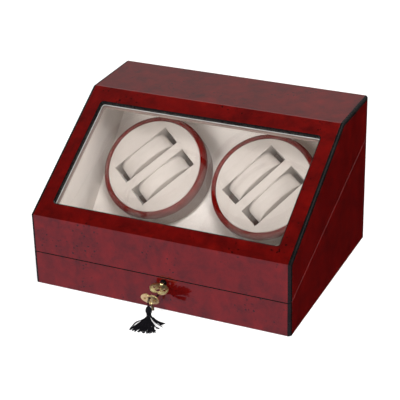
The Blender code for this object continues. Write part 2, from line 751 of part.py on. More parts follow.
def make_staple(hinge):
    y0, y1 = BOLT_Y0 - 0.9 * MM, BOLT_Y1 + 0.9 * MM
    staple = box("lid_staple", (STAPLE_X, y0, 41 * MM), (STAPLE_X + 1.6 * MM, y1, 60 * MM), BRASS)
    flange = box("staple_flange", (STAPLE_X - 7 * MM, CASE_FRONT, 54 * MM),
                 (STAPLE_X + 8.6 * MM, CASE_FRONT + 1.5 * MM, 64 * MM))
    web = box("staple_web", (STAPLE_X - 2 * MM, CASE_FRONT + MM, 56 * MM),
              (STAPLE_X + 3.6 * MM, y1, 61 * MM))
    eye = box("staple_eye", (STAPLE_X - MM, BOLT_Y0 - EYE_CLEARANCE, BOLT_LOW - EYE_CLEARANCE),
              (STAPLE_X + 3 * MM, BOLT_Y1 + EYE_CLEARANCE, BOLT_HIGH + EYE_CLEARANCE))
    fuse(staple, web, flange)
    cut(staple, eye)
    carried_by(hinge, staple, flange, web, eye)


def make_plug(plug_end):
    """The turning plug, with a keyway for the shaft and its bit."""
    axis = axis_empty("lock_plug_axis", (LOCK_X, FRONT, LOCK_Z))
    plug = cylinder("lock_plug", PLUG_RADIUS, -plug_end, -FRONT, 24, BLACKENED,
                    facing_front(LOCK_X, LOCK_Z))
    depth = 11 * MM
    bore = cylinder("key_bore", KEY_SHAFT + 0.5 * MM, -FRONT - depth, -FRONT + MM, 12,
                    to_space=facing_front(LOCK_X, LOCK_Z))
    keyway = box("keyway", (LOCK_X - 0.9 * MM, FRONT - MM, LOCK_Z - 3.8 * MM),
                 (LOCK_X + 0.9 * MM, FRONT + depth, LOCK_Z))
    cut(plug, bore, keyway)
    carried_by(axis, plug, bore, keyway)
    return axis


def bow_outline(steps=40):
    """A wide two-lobed bow, with a notch in its outer edge."""
    points = []
    for step in range(steps):
        angle = 2 * math.pi * step / steps
        from_top = math.degrees(angle) - 90
        notch = 2.2 * math.exp(-((from_top / 18) ** 2))
        radius = (9.3 + 1.3 * math.cos(2 * angle) - notch) * MM
        points.append((1.12 * radius * math.cos(angle), radius * math.sin(angle)))
    return points


STANDING = Matrix.Rotation(math.pi / 2, 4, "X")
# The bow's holes: across, along and radius
BOW_HOLES = ((0, 2.2, 2.2), (-6.4, -0.4, 1.6), (6.4, -0.4, 1.6), (0, -3.4, 1.2))
NECK = -6.5 * MM
NECK_TO_BOW = 6.5 * MM
SHAFT_END = -20.5 * MM


def make_key(name, frame, bit_turn, droop=0.0):
    """A key with its shaft along local -Z. Its bow is set at an angle on the neck."""
    tilt = Matrix.Translation((0, 0, NECK)) @ Matrix.Rotation(droop, 4, "X")
    bow_frame = tilt @ Matrix.Translation((0, 0, NECK_TO_BOW))
    half = BOW_THICKNESS / 2
    key = extruded(name, bow_outline(), -half, half, BRASS, bow_frame @ STANDING)
    shaft = cylinder(name + "_shaft", KEY_SHAFT, SHAFT_END, NECK + 0.8 * MM, 12)
    collar = cylinder(name + "_collar", 2.4 * MM, -8 * MM, -6 * MM, 12)
    bit = box(name + "_bit", (-0.5 * MM, 0.5 * MM, SHAFT_END + 0.5 * MM),
              (0.5 * MM, BIT_REACH, SHAFT_END + 3.5 * MM))
    bit.matrix_basis = Matrix.Rotation(bit_turn, 4, "Z")
    holes = []
    for index, (across, along, radius) in enumerate(BOW_HOLES):
        place = bow_frame @ Matrix.Translation((across * MM, 0, along * MM)) @ STANDING
        holes.append(cylinder(f"{name}_hole_{index}", radius * MM, -3 * MM, 3 * MM, 16,
                              to_space=place))
    fuse(key, shaft, collar, bit)
    cut(key, *holes)
    drawn_in(frame, key, shaft, collar, bit, *holes)
    return key


def smooth_route(points, spacing):
    """Points along a smooth curve through the route's own points, about spacing apart."""
    knots = [Vector(p) for p in points]
    knots = [2 * knots[0] - knots[1], *knots, 2 * knots[-1] - knots[-2]]
    route = [knots[1]]
    for a, b, c, d in zip(knots, knots[1:], knots[2:], knots[3:]):
        steps = max(1, round((c - b).length / spacing))
        for i in range(1, steps + 1):
            t = i / steps
            blend = (2 * b + (c - a) * t + (2 * a - 5 * b + 4 * c - d) * t * t
                     + (3 * b - a - 3 * c + d) * t ** 3)
            route.append(blend / 2)
    return route


# One run of the tassel's cord, from the top of the tassel's head to the key's shank
CORD_RUN = [
    (0.8, -161.0, 18.7), (0.5, -160.7, 21.4), (0.2, -159.4, 24.8), (0.0, -157.2, 26.9),
    (0.2, -155.2, 27.2), (1.0, -152.2, 26.0), (2.6, -148.0, 24.4), (4.8, -143.4, 24.6),
    (6.5, -139.4, 27.4), (7.3, -137.2, 31.2),
]
CORD_HALF_SPREAD = 0.75


def cord_route():
    """Up one run, round the key's shank and down the other run."""
    up = [((x - CORD_HALF_SPREAD) * MM, y * MM, z * MM) for x, y, z in CORD_RUN]
    down = [((x + CORD_HALF_SPREAD) * MM, y * MM, z * MM) for x, y, z in CORD_RUN]
    turn = [
        (LOCK_X + a, LOOP_Y, LOCK_Z + b)
        for a, b in arc((0, 0), 2.6 * MM, 200, -20, 6)
    ]
    return smooth_route([*up, *turn, *reversed(down)], 2 * MM)


# The tassel's sections: middle, half width along the fan, half height, and how far the fan turns
TASSEL_SECTIONS = [
    ((0.8, -161.0, 18.3), 1.0, 1.0, 0), ((0.8, -161.0, 16.6), 3.2, 3.2, 0),
    ((0.8, -161.0, 12.6), 4.3, 4.3, 0), ((0.8, -161.0, 8.8), 3.5, 3.5, 0),
    ((0.9, -161.4, 6.9), 2.7, 2.7, 4), ((1.6, -163.6, 5.6), 3.8, 2.9, 8),
    ((3.8, -169.5, 3.9), 8.0, 2.7, 16), ((6.4, -177.0, 2.4), 14.0, 2.0, 23),
    ((8.6, -185.0, 1.4), 21.5, 1.3, 28),
]


def make_tassel():
    """A tassel that hangs to the floor, where its skirt spreads into a flat fan."""
    shape = bmesh.new()
    rings = []
    middles = [Vector(section[0]) for section in TASSEL_SECTIONS]
    for i, (middle, half_width, half_height, turn) in enumerate(TASSEL_SECTIONS):
        before, after = middles[max(i - 1, 0)], middles[min(i + 1, len(middles) - 1)]
        run = (after - before).normalized()
        across = Vector((math.cos(math.radians(turn)), math.sin(math.radians(turn)), 0))
        upright = across.cross(run).normalized()
        ring = [
            shape.verts.new((middles[i] + across * (half_width * x) + upright * (half_height * y)) * MM)
            for x, y in arc((0, 0), 1, 0, 345, 23)
        ]
        rings.append(ring)
    for ring, following in zip(rings, rings[1:]):
        for i in range(len(ring)):
            j = (i + 1) % len(ring)
            shape.faces.new((ring[i], ring[j], following[j], following[i]))
    shape.faces.new(rings[0])
    shape.faces.new(rings[-1])
    return object_of("tassel", shape, BLACK_THREAD, smooth=True)


def make_cord():
    curve = bpy.data.curves.new("tassel_cord", "CURVE")
    curve.dimensions = "3D"
    curve.bevel_depth = CORD_RADIUS
    curve.bevel_resolution = 2
    curve.use_fill_caps = True
    route = cord_route()
    spline = curve.splines.new("POLY")
    spline.points.add(len(route) - 1)
    for point, place in zip(spline.points, route):
        point.co = (*place, 1)
    cord = bpy.data.objects.new("tassel_cord", curve)
    bpy.context.scene.collection.objects.link(cord)
    paint(cord, BLACK_THREAD)
    return cord


def make_keys(plug_axis):
    """The key in the lock, and the spare key and the tassel that hang from it."""
    c, s = math.cos(KEY_TILT), math.sin(KEY_TILT)
    in_lock = Matrix(((c, s, 0, LOCK_X), (0, 0, -1, KEY_BOW_Y), (-s, c, 0, LOCK_Z), (0, 0, 0, 1)))
    key_slide = axis_empty("key_slide", in_lock, plug_axis)
    make_key("key", key_slide, math.pi + KEY_TILT, BOW_DROOP)
    swing = axis_empty("tassel_swing", (LOCK_X, LOOP_Y, LOCK_Z), key_slide)
    leaning = Matrix.Translation((0, -154.7 * MM, 25.3 * MM)) @ Matrix.Rotation(SPARE_LEAN, 4, "X")
    make_key("spare_key", axis_empty("spare_key_hang", leaning, swing), 0)
    carried_by(swing, make_tassel(), make_cord())


def main():
    clear_scene()
    make_base_case()
    make_storage()
    make_drive()
    for side in ("left", "right"):
        make_turntable(side)
    make_electrics()
    hinge = axis_empty("lid_hinge", (0, HINGE_Y, HINGE_Z))
    make_lid(hinge)
    make_hinge(hinge)
    make_keys(make_lock(hinge))


main()
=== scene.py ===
"""The finished look of the watch winder box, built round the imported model."""

import math
import random

import bmesh
import bpy
from mathutils import Matrix, Vector


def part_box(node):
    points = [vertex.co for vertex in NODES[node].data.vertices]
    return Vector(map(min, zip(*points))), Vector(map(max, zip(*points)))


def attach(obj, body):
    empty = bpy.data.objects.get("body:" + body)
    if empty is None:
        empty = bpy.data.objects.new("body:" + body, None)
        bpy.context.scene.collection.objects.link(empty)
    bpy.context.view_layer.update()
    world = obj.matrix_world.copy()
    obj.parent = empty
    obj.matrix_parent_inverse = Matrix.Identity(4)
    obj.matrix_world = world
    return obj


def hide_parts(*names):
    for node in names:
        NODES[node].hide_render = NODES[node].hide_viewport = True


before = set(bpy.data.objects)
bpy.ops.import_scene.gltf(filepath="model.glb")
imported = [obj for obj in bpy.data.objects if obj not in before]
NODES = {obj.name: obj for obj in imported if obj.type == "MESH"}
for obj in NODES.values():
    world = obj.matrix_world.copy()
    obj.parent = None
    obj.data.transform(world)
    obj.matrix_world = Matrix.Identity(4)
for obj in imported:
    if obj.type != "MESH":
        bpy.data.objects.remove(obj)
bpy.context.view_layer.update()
MM = 0.001

# The case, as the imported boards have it
WIDTH, DEPTH, HEIGHT = 340 * MM, 267 * MM, 199.4 * MM
FRONT, BACK = -DEPTH / 2, DEPTH / 2
FRONT_HEIGHT, TOP_DEPTH = 95.6 * MM, 92.9 * MM
SPLIT_FRONT, SPLIT_BACK = 44.6 * MM, 145.1 * MM
UNDERSIDE, HALF_PARTING, PARTING_EDGE = 0.6 * MM, 0.35 * MM, 0.35 * MM
BOARD, EDGE_RADIUS, SOFT_EDGE = 9 * MM, 4 * MM, 0.5 * MM
GAP = 0.3 * MM
EDGE_X = WIDTH / 2 - EDGE_RADIUS
INNER_X = WIDTH / 2 - BOARD

# The window
WINDOW_SIDE, WINDOW_TOP, WINDOW_BOTTOM = 22.7 * MM, 23.9 * MM, 22.2 * MM
WINDOW_CORNER, WINDOW_EASE = 3.5 * MM, 1.7 * MM
GLASS_TOP, GLASS_REBATE, SEAL_RADIUS = -6 * MM, 5 * MM, 0.4 * MM
WINDOW_CUT_DEPTH = 20 * MM

# The turntables
TURNTABLE_TILT = math.radians(45)
TURNTABLES = {
    "left": (Vector((-75.2, 17.3, 110.8)) * MM, math.radians(51.5), (1, 2)),
    "right": (Vector((75.2, 17.3, 110.8)) * MM, math.radians(55.5), (3, 4)),
}
RIM_RADIUS, DRUM_RADIUS, PAD_RADIUS = 69.3 * MM, 68.6 * MM, 61.9 * MM
DRUM_DEPTH, DRUM_BACK = 34 * MM, 4.5 * MM
DRUM_FLOOR = -DRUM_DEPTH + DRUM_BACK + GAP
SLOT_LENGTH, SLOT_WIDTH, SLOT_OFFSET = 83 * MM, 27.5 * MM, 20 * MM
WATCH_PILLOW, WATCH_BULGE = (72 * MM, 24.5 * MM, 35 * MM), 2.2
STORAGE_PILLOW, STORAGE_BULGE = (72 * MM, 44 * MM, 36 * MM), 3.2

# The lock, the keys and the tassel
LOCK_X, LOCK_Z = 8 * MM, 38 * MM
KEY_BOW_Y, KEY_TILT = FRONT - 12.5 * MM, math.radians(6)
BOW_DROOP, SPARE_LEAN, LOOP_Y = math.radians(20), math.radians(20), FRONT - 3 * MM
SPARE_BOW = Vector((0, -154.7, 25.3)) * MM
TASSEL_X, TASSEL_Y = 0.8 * MM, -161.0 * MM
BOW_NECK, LOCK_HOLE = 6.5 * MM, 4.2 * MM

# The back, and the depth of the ways cut through the boards
HINGE_Z, SCREW_PITCH = SPLIT_BACK, 29
CONTROL_Z, CONTROL_HALF, CONTROL_HALF_HEIGHT = 46 * MM, 44 * MM, 10 * MM
KNOBS, TICK_CIRCLE = (13, 36), 9.6
CUT_DEPTH = 12 * MM


# ---------------------------------------------------------------- camera, floor and light


def aim_camera():
    """A long lens from the front right, a little above the box."""
    azimuth, elevation, roll = math.radians(24.96), math.radians(26.74), math.radians(-1.4)
    target, distance = Vector((-3.6, 0, 83.4)) * MM, 1.769
    back = Vector((math.sin(azimuth) * math.cos(elevation),
                   -math.cos(azimuth) * math.cos(elevation), math.sin(elevation)))
    level = Vector((math.cos(azimuth), math.sin(azimuth), 0))
    upright = back.cross(level)
    right = math.cos(roll) * level + math.sin(roll) * upright
    up = math.cos(roll) * upright - math.sin(roll) * level
    camera = bpy.data.objects.new("camera", bpy.data.cameras.new("camera"))
    bpy.context.scene.collection.objects.link(camera)
    camera.data.lens = 126.8
    camera.data.clip_end = 60
    place = Matrix.Translation(target + back * distance)
    camera.matrix_world = place @ Matrix((right, up, back)).transposed().to_4x4()
    bpy.context.scene.camera = camera


def lay_floor():
    """A plain pale sheet of paper, which mirrors don't see."""
    mesh = bpy.data.meshes.new("floor")
    half = 14
    mesh.from_pydata([(-half, -half, 0), (half, -half, 0), (half, half, 0), (-half, half, 0)],
                     [], [(0, 1, 2, 3)])
    floor = bpy.data.objects.new("floor", mesh)
    bpy.context.scene.collection.objects.link(floor)
    floor.location.z = -0.2 * MM
    paper = bpy.data.materials.new("floor_paper")
    paper.use_nodes = True
    shader = paper.node_tree.nodes["Principled BSDF"]
    shader.inputs["Base Color"].default_value = (0.55, 0.55, 0.55, 1)
    shader.inputs["Roughness"].default_value = 0.9
    shader.inputs["Specular IOR Level"].default_value = 0.0
    shader.inputs["Emission Color"].default_value = (1, 1, 1, 1)
    shader.inputs["Emission Strength"].default_value = 0.62
    mesh.materials.append(paper)
    floor.visible_glossy = False


def light_world():
    """Soft even light, and white behind the object. Glossy surfaces see pale walls low in front, dark
    overhead in front, and a bright panel high at the back."""
    world = bpy.data.worlds.new("studio")
    bpy.context.scene.world = world
    world.use_nodes = True
    tree = world.node_tree
    nodes, link = tree.nodes, tree.links.new
    nodes.clear()
    coord = nodes.new("ShaderNodeTexCoord")
    split = nodes.new("ShaderNodeSeparateXYZ")
    link(coord.outputs["Generated"], split.inputs[0])

    def ramp(source, stops, low, high, tint=(1, 1, 1)):
        spread = nodes.new("ShaderNodeMapRange")
        spread.inputs["From Min"].default_value, spread.inputs["From Max"].default_value = low, high
        link(source, spread.inputs["Value"])
        node = nodes.new("ShaderNodeValToRGB")
        while len(node.color_ramp.elements) < len(stops):
            node.color_ramp.elements.new(stops[len(node.color_ramp.elements) - 1][0])
        for i, (place, value) in enumerate(stops):
            element = node.color_ramp.elements[i]
            element.position = place
            element.color = (*(value * share for share in tint), 1)
        link(spread.outputs[0], node.inputs["Fac"])
        return node.outputs["Color"]

    def blend(factor, low, high):
        node = nodes.new("ShaderNodeMix")
        node.data_type = "RGBA"
        link(factor, node.inputs["Factor"])
        link(low, node.inputs["A"])
        link(high, node.inputs["B"])
        return node.outputs["Result"]

    below = ramp(split.outputs["Y"], [(0.0, 0.68), (0.42, 0.64), (0.60, 0.02), (1.0, 0.0)], -1, 1,
                 (1.0, 0.80, 1.0))
    above_front = ramp(split.outputs["Z"], [(0.0, 0.8), (0.40, 0.8), (0.62, 0.02), (1.0, 0.01)], 0, 1)
    above_back = ramp(split.outputs["Z"], [(0.0, 0.18), (0.52, 0.26), (0.64, 2.4), (1.0, 2.4)], 0, 1)
    behind = ramp(split.outputs["Y"], [(0.0, 0.0), (1.0, 1.0)], 0.10, 0.22)
    upper = ramp(split.outputs["Z"], [(0.0, 0.0), (1.0, 1.0)], -0.06, 0.06)
    seen = blend(upper, below, blend(behind, above_front, above_back))
    path = nodes.new("ShaderNodeLightPath")
    glossy = nodes.new("ShaderNodeBackground")
    link(seen, glossy.inputs["Color"])
    even = nodes.new("ShaderNodeBackground")
    even.inputs["Color"].default_value = (1, 1, 1, 1)
    even.inputs["Strength"].default_value = 0.44
    white = nodes.new("ShaderNodeBackground")
    white.inputs["Color"].default_value = (1, 1, 1, 1)
    white.inputs["Strength"].default_value = 1.2
    first, second = nodes.new("ShaderNodeMixShader"), nodes.new("ShaderNodeMixShader")
    link(path.outputs["Is Glossy Ray"], first.inputs["Fac"])
    link(even.outputs[0], first.inputs[1])
    link(glossy.outputs[0], first.inputs[2])
    link(path.outputs["Is Camera Ray"], second.inputs["Fac"])
    link(first.outputs[0], second.inputs[1])
    link(white.outputs[0], second.inputs[2])
    output = nodes.new("ShaderNodeOutputWorld")
    link(second.outputs[0], output.inputs["Surface"])


def hang_light(name, place, aim, size, power, mirrored):
    light = bpy.data.lights.new(name, "AREA")
    light.shape = "DISK"
    light.size, light.energy = size, power
    lamp = bpy.data.objects.new(name, light)
    bpy.context.scene.collection.objects.link(lamp)
    lamp.location = place
    lamp.rotation_euler = (Vector(aim) - Vector(place)).to_track_quat("-Z", "Y").to_euler()
    lamp.visible_glossy = mirrored


aim_camera()
lay_floor()
light_world()
hang_light("key_light", (0.7, -1.2, 2.1), (0, 0, 0.1), 0.8, 30, False)
hang_light("front_light", (-0.4, -2.2, 0.9), (0, 0, 0.1), 1.0, 32, False)
hang_light("right_light", (2.4, 0.2, 0.8), (0, 0, 0.1), 1.0, 48, False)
hang_light("right_strip", (1.6, -2.0, 1.1), (0, 0, 0.1), 0.35, 14, True)
hang_light("left_strip", (-1.8, -1.9, 0.9), (0, 0, 0.1), 0.35, 12, True)
bpy.context.scene.view_settings.view_transform = "Standard"


# ---------------------------------------------------------------- materials


class Finish:
    """A procedural material. Patterns read object coordinates, in metres."""

    def __init__(self, name, **values):
        self.material = bpy.data.materials.new(name)
        self.material.use_nodes = True
        self.tree = self.material.node_tree
        self.shader = self.tree.nodes["Principled BSDF"]
        for socket, value in values.items():
            self.set(socket.replace("_", " "), value)
        self.coord = self.tree.nodes.new("ShaderNodeTexCoord").outputs["Object"]

    def set(self, socket, value):
        if isinstance(value, tuple):
            value = (*value, 1)
        self.shader.inputs[socket].default_value = value

    def node(self, kind, inputs=None, **settings):
        node = self.tree.nodes.new(kind)
        for key, value in settings.items():
            setattr(node, key, value)
        for key, value in (inputs or {}).items():
            if isinstance(value, bpy.types.NodeSocket):
                self.tree.links.new(value, node.inputs[key])
            else:
                node.inputs[key].default_value = value
        return node

    def stretched(self, scale, turn=(0, 0, 0)):
        return self.node("ShaderNodeMapping", {"Vector": self.coord, "Scale": scale,
                                               "Rotation": turn}).outputs[0]

    def noise(self, scale, detail=3.0, roughness=0.55, distortion=0.0, at=None):
        return self.node("ShaderNodeTexNoise", {
            "Vector": at or self.coord, "Scale": scale, "Detail": detail,
            "Roughness": roughness, "Distortion": distortion}).outputs["Fac"]

    def cells(self, scale, at=None):
        return self.node("ShaderNodeTexVoronoi",
                         {"Vector": at or self.coord, "Scale": scale}).outputs["Distance"]

    def waves(self, scale, direction="X", at=None, distortion=0.0):
        return self.node("ShaderNodeTexWave", {
            "Vector": at or self.coord, "Scale": scale, "Distortion": distortion,
        }, bands_direction=direction).outputs["Fac"]

    def ramp(self, source, *stops):
        node = self.node("ShaderNodeValToRGB", {"Fac": source})
        elements = node.color_ramp.elements
        while len(elements) < len(stops):
            elements.new(0.5)
        for element, (place, colour) in zip(elements, stops):
            if not isinstance(colour, tuple):
                colour = (colour,) * 3
            element.position, element.color = place, (*colour, 1)
        return node.outputs["Color"]

    def mix(self, factor, a, b, blend="MIX"):
        node = self.node("ShaderNodeMix", data_type="RGBA", blend_type=blend)
        for key, value in (("Factor", factor), ("A", a), ("B", b)):
            socket = next(s for s in node.inputs
                          if s.name == key and (s.type == "VALUE" if key == "Factor" else s.type == "RGBA"))
            if isinstance(value, bpy.types.NodeSocket):
                self.tree.links.new(value, socket)
            else:
                socket.default_value = (*value, 1) if isinstance(value, tuple) else value
        return next(s for s in node.outputs if s.type == "RGBA")

    def drive(self, socket, source):
        self.tree.links.new(source, self.shader.inputs[socket])

    def bump(self, height, distance, strength=1.0):
        node = self.node("ShaderNodeBump", {"Height": height, "Distance": distance,
                                            "Strength": strength})
        self.drive("Normal", node.outputs[0])


def burl_lacquer():
    """Red-dyed burl under clear lacquer: soft clouds, streaks and clusters of small dark eyes."""
    f = Finish("burl_lacquer", Roughness=0.34, Metallic=0.58, Specular_IOR_Level=0.1, Coat_Weight=1.0,
               Coat_Roughness=0.025, Coat_IOR=1.5)
    warp = f.node("ShaderNodeTexNoise", {"Vector": f.coord, "Scale": 22.0, "Detail": 3.0})
    push = f.node("ShaderNodeVectorMath", {0: warp.outputs["Color"], 1: (0.5, 0.5, 0.5)},
                  operation="SUBTRACT").outputs[0]
    push = f.node("ShaderNodeVectorMath", {0: push, "Scale": 0.022}, operation="SCALE").outputs[0]
    place = f.node("ShaderNodeVectorMath", {0: f.coord, 1: push}, operation="ADD").outputs[0]
    figure = f.noise(58, 7, 0.68, 0.3, place)
    colour = f.ramp(figure,
                    (0.26, (0.072, 0.0008, 0.0007)), (0.44, (0.115, 0.0013, 0.0009)),
                    (0.58, (0.146, 0.0018, 0.0011)), (0.76, (0.205, 0.0040, 0.0018)))
    upright = f.node("ShaderNodeMapping", {"Vector": place, "Scale": (30, 30, 7)}).outputs[0]
    streaks = f.ramp(f.noise(1.0, 4, 0.6, 0.2, upright), (0.34, 0.78), (0.68, 1.20))
    colour = f.mix(0.8, colour, streaks, "MULTIPLY")
    smudge = f.ramp(f.noise(26, 5, 0.7, 0.4), (0.56, 0.0), (0.70, 0.55))
    colour = f.mix(smudge, colour, (0.040, 0.0010, 0.0009))
    eyes = f.ramp(f.cells(170, place), (0.12, 1.0), (0.27, 0.0))
    clusters = f.ramp(f.noise(24, 4, 0.62), (0.53, 0.0), (0.59, 0.95))
    colour = f.mix(f.mix(1.0, eyes, clusters, "MULTIPLY"), colour, (0.016, 0.0007, 0.0008))
    fine = f.ramp(f.cells(430, place), (0.10, 1.0), (0.26, 0.0))
    sparse = f.ramp(f.noise(55, 3, 0.6), (0.50, 0.0), (0.64, 0.75))
    colour = f.mix(f.mix(1.0, fine, sparse, "MULTIPLY"), colour, (0.024, 0.0008, 0.0008))
    f.drive("Base Color", colour)
    return f.material


def cherry_lacquer():
    """The turned rims: plain deep red under a hard clear gloss."""
    f = Finish("cherry_lacquer", Roughness=0.35, Specular_IOR_Level=0.0, Coat_Weight=0.2,
               Coat_Roughness=0.03, Coat_IOR=1.5)
    grain = f.noise(1.0, 5, 0.6, 0.3, f.stretched((40, 40, 160)))
    colour = f.ramp(grain, (0.3, (0.088, 0.0010, 0.0006)), (0.7, (0.140, 0.0020, 0.0010)))
    pores = f.ramp(f.cells(260), (0.08, 0.55), (0.2, 0.0))
    f.drive("Base Color", f.mix(pores, colour, (0.05, 0.002, 0.0015)))
    return f.material


def black_lacquer():
    # Also used on the parting edges, where the black is painted shade.
    f = Finish("black_lacquer", Specular_IOR_Level=0.08, Coat_Weight=0.25, Coat_Roughness=0.05)
    f.drive("Base Color", f.ramp(f.noise(60, 4), (0.35, (0.0022, 0.0020, 0.0020)),
                                 (0.7, (0.0050, 0.0042, 0.0040))))
    f.drive("Roughness", f.ramp(f.noise(400, 3), (0.3, 0.22), (0.7, 0.34)))
    return f.material


def suede(name, colour, shade=0.86):
    """Short-pile cloth: brushed light and dark patches over a fine nap."""
    f = Finish(name, Roughness=0.92, Specular_IOR_Level=0.15, Sheen_Weight=0.25,
               Sheen_Roughness=0.5)
    dark = tuple(value * shade for value in colour)
    brushed = f.ramp(f.noise(38, 4, 0.6, 0.5), (0.35, dark), (0.65, colour))
    nap = f.ramp(f.noise(1500, 4, 0.7), (0.3, 0.86), (0.7, 1.10))
    f.drive("Base Color", f.mix(1.0, brushed, nap, "MULTIPLY"))
    f.bump(f.noise(1300, 4, 0.7), 0.00025, 0.5)
    return f.material


def felt():
    f = Finish("felt", Roughness=0.97, Specular_IOR_Level=0.1, Sheen_Weight=0.4)
    f.drive("Base Color", f.ramp(f.noise(900, 5, 0.8), (0.3, (0.006, 0.006, 0.007)),
                                 (0.7, (0.032, 0.032, 0.034))))
    f.bump(f.noise(1100, 5, 0.8), 0.0005, 0.8)
    return f.material


def bare_board():
    f = Finish("bare_board", Roughness=0.85)
    fibres = f.noise(60, 6, 0.75, 0.2, f.stretched((1, 9, 9)))
    f.drive("Base Color", f.ramp(fibres, (0.32, (0.26, 0.17, 0.10)), (0.7, (0.44, 0.31, 0.20))))
    f.bump(fibres, 0.0003, 0.5)
    return f.material


def metal(name, bright, dull, rough=(0.14, 0.32), grain=None):
    f = Finish(name, Metallic=1.0)
    f.drive("Base Color", f.ramp(f.noise(170, 5, 0.65), (0.35, dull), (0.62, bright)))
    wear = f.noise(240, 5, 0.7) if grain is None else f.noise(60, 4, 0.7, 0, f.stretched(grain))
    f.drive("Roughness", f.ramp(wear, (0.3, rough[0]), (0.7, rough[1])))
    f.bump(wear, 0.00006, 0.25)
    return f.material


def black_plastic():
    f = Finish("black_plastic", Specular_IOR_Level=0.45)
    f.drive("Base Color", f.ramp(f.noise(300, 3), (0.35, (0.010, 0.010, 0.011)),
                                 (0.7, (0.021, 0.021, 0.023))))
    f.drive("Roughness", f.ramp(f.noise(700, 3), (0.3, 0.36), (0.7, 0.52)))
    f.bump(f.noise(1800, 2), 0.00008, 0.4)
    return f.material


def circuit_board():
    f = Finish("circuit_board", Roughness=0.42)
    tracks = f.waves(90, "X", distortion=1.2)
    f.drive("Base Color", f.ramp(tracks, (0.44, (0.005, 0.062, 0.024)), (0.56, (0.012, 0.12, 0.05))))
    f.bump(tracks, 0.0001, 0.4)
    return f.material


def clear_glass():
    """Polished float glass, with the faintest film on it."""
    f = Finish("window_glass", Roughness=0.01, Specular_IOR_Level=0.5, Alpha=0.08,
               Transmission_Weight=1.0, IOR=1.45)
    f.drive("Base Color", f.ramp(f.noise(6, 3), (0.35, (0.93, 0.97, 0.95)),
                                 (0.7, (0.97, 0.99, 0.98))))
    return f.material


# The glazing seal round the glass. Its pale grey colour is a painted highlight, the bright line along the
# glass's edge.
def pale_seal_painted_highlight():
    f = Finish("pale_seal_painted_highlight", Roughness=0.15, Specular_IOR_Level=0.5)
    f.drive("Base Color", f.ramp(f.noise(80, 2), (0.3, (0.42, 0.42, 0.40)), (0.7, (0.62, 0.62, 0.60))))
    return f.material


def black_thread():
    f = Finish("black_thread", Roughness=0.7, Specular_IOR_Level=0.1, Sheen_Weight=0.01,
               Sheen_Roughness=0.35)
    strands = f.waves(620, "DIAGONAL", distortion=1.5)
    f.drive("Base Color", f.ramp(strands, (0.3, (0.003, 0.003, 0.004)), (0.75, (0.006, 0.0055, 0.008))))
    f.bump(strands, 0.0002, 0.7)
    return f.material


def print_ink():
    f = Finish("white_print", Roughness=0.6)
    f.drive("Base Color", f.ramp(f.noise(500, 2), (0.3, (0.55, 0.55, 0.55)), (0.7, (0.75, 0.75, 0.75))))
    return f.material


BURL = burl_lacquer()
CHERRY = cherry_lacquer()
BLACK = black_lacquer()
SUEDE = suede("suede", (0.52, 0.46, 0.415), 0.95)
LINING = suede("suede_lining", (0.80, 0.73, 0.67), 0.93)
# The lining's suede made lighter for the turntable panel: painted light, making up for the shade the lid
# casts on the panel.
PANEL_SUEDE_PAINTED_LIGHT = suede("suede_panel_painted_light", (0.93, 0.86, 0.80), 0.93)
# A darkened copy of the suede: painted shade, for the drum walls in shadow and the glazing bead under the
# lid's top.
WALL_PAINTED_SHADE = suede("suede_wall_painted_shade", (0.27, 0.195, 0.165), 0.84)
BRASS = metal("brass", (1.0, 0.90, 0.46), (1.0, 0.82, 0.36), (0.30, 0.42))
BLACKENED = metal("blackened_metal", (0.050, 0.044, 0.040), (0.022, 0.020, 0.019), (0.3, 0.5))
STEEL = metal("steel", (0.62, 0.62, 0.64), (0.48, 0.48, 0.50), (0.26, 0.42), (1, 1, 14))
PLASTIC = black_plastic()
GLASS = clear_glass()
SEAL = pale_seal_painted_highlight()
THREAD = black_thread()
INK = print_ink()
FELT, BARE, CIRCUIT = felt(), bare_board(), circuit_board()


# ---------------------------------------------------------------- mesh helpers


def linked(name, mesh, *materials):
    obj = bpy.data.objects.new(name, mesh)
    bpy.context.scene.collection.objects.link(obj)
    for material in materials:
        mesh.materials.append(material)
    return obj


def solid(name, shape, *materials):
    """An object from a closed bmesh, smooth shaded, with its faces turned outwards."""
    bmesh.ops.recalc_face_normals(shape, faces=shape.faces)
    if shape.calc_volume(signed=True) < 0:
        bmesh.ops.reverse_faces(shape, faces=shape.faces)
    mesh = bpy.data.meshes.new(name)
    shape.to_mesh(mesh)
    shape.free()
    mesh.shade_smooth()
    return linked(name, mesh, *materials)


def box(name, low, high, *materials):
    shape = bmesh.new()
    bmesh.ops.create_cube(shape, size=1)
    bmesh.ops.scale(shape, vec=Vector(high) - Vector(low), verts=shape.verts)
    bmesh.ops.translate(shape, vec=(Vector(high) + Vector(low)) / 2, verts=shape.verts)
    return solid(name, shape, *materials)


def extruded(name, outline, start, end, to_space, *materials):
    shape = bmesh.new()
    face = shape.faces.new([shape.verts.new((a, b, start)) for a, b in outline])
    grown = bmesh.ops.extrude_face_region(shape, geom=[face])["geom"]
    moved = [item for item in grown if isinstance(item, bmesh.types.BMVert)]
    bmesh.ops.translate(shape, vec=(0, 0, end - start), verts=moved)
    shape.transform(to_space)
    return solid(name, shape, *materials)


# Local X, Y and Z become the box's Y, Z and X
SIDE_VIEW = Matrix(((0, 0, 1, 0), (1, 0, 0, 0), (0, 1, 0, 0), (0, 0, 0, 1)))
STANDING = Matrix.Rotation(math.pi / 2, 4, "X")


def turned(name, profile, steps, to_space, *materials, closed=False):
    """A profile of (radius, height) points spun about local Z."""
    shape = bmesh.new()
    points = [shape.verts.new((radius, 0, height)) for radius, height in profile]
    pairs = list(zip(points, points[1:]))
    if closed:
        pairs.append((points[-1], points[0]))
    edges = [shape.edges.new(pair) for pair in pairs]
    bmesh.ops.spin(shape, geom=points + edges, axis=(0, 0, 1), cent=(0, 0, 0), steps=steps,
                   angle=2 * math.pi, use_merge=True)
    bmesh.ops.remove_doubles(shape, verts=shape.verts, dist=1e-6)
    shape.transform(to_space)
    return solid(name, shape, *materials)


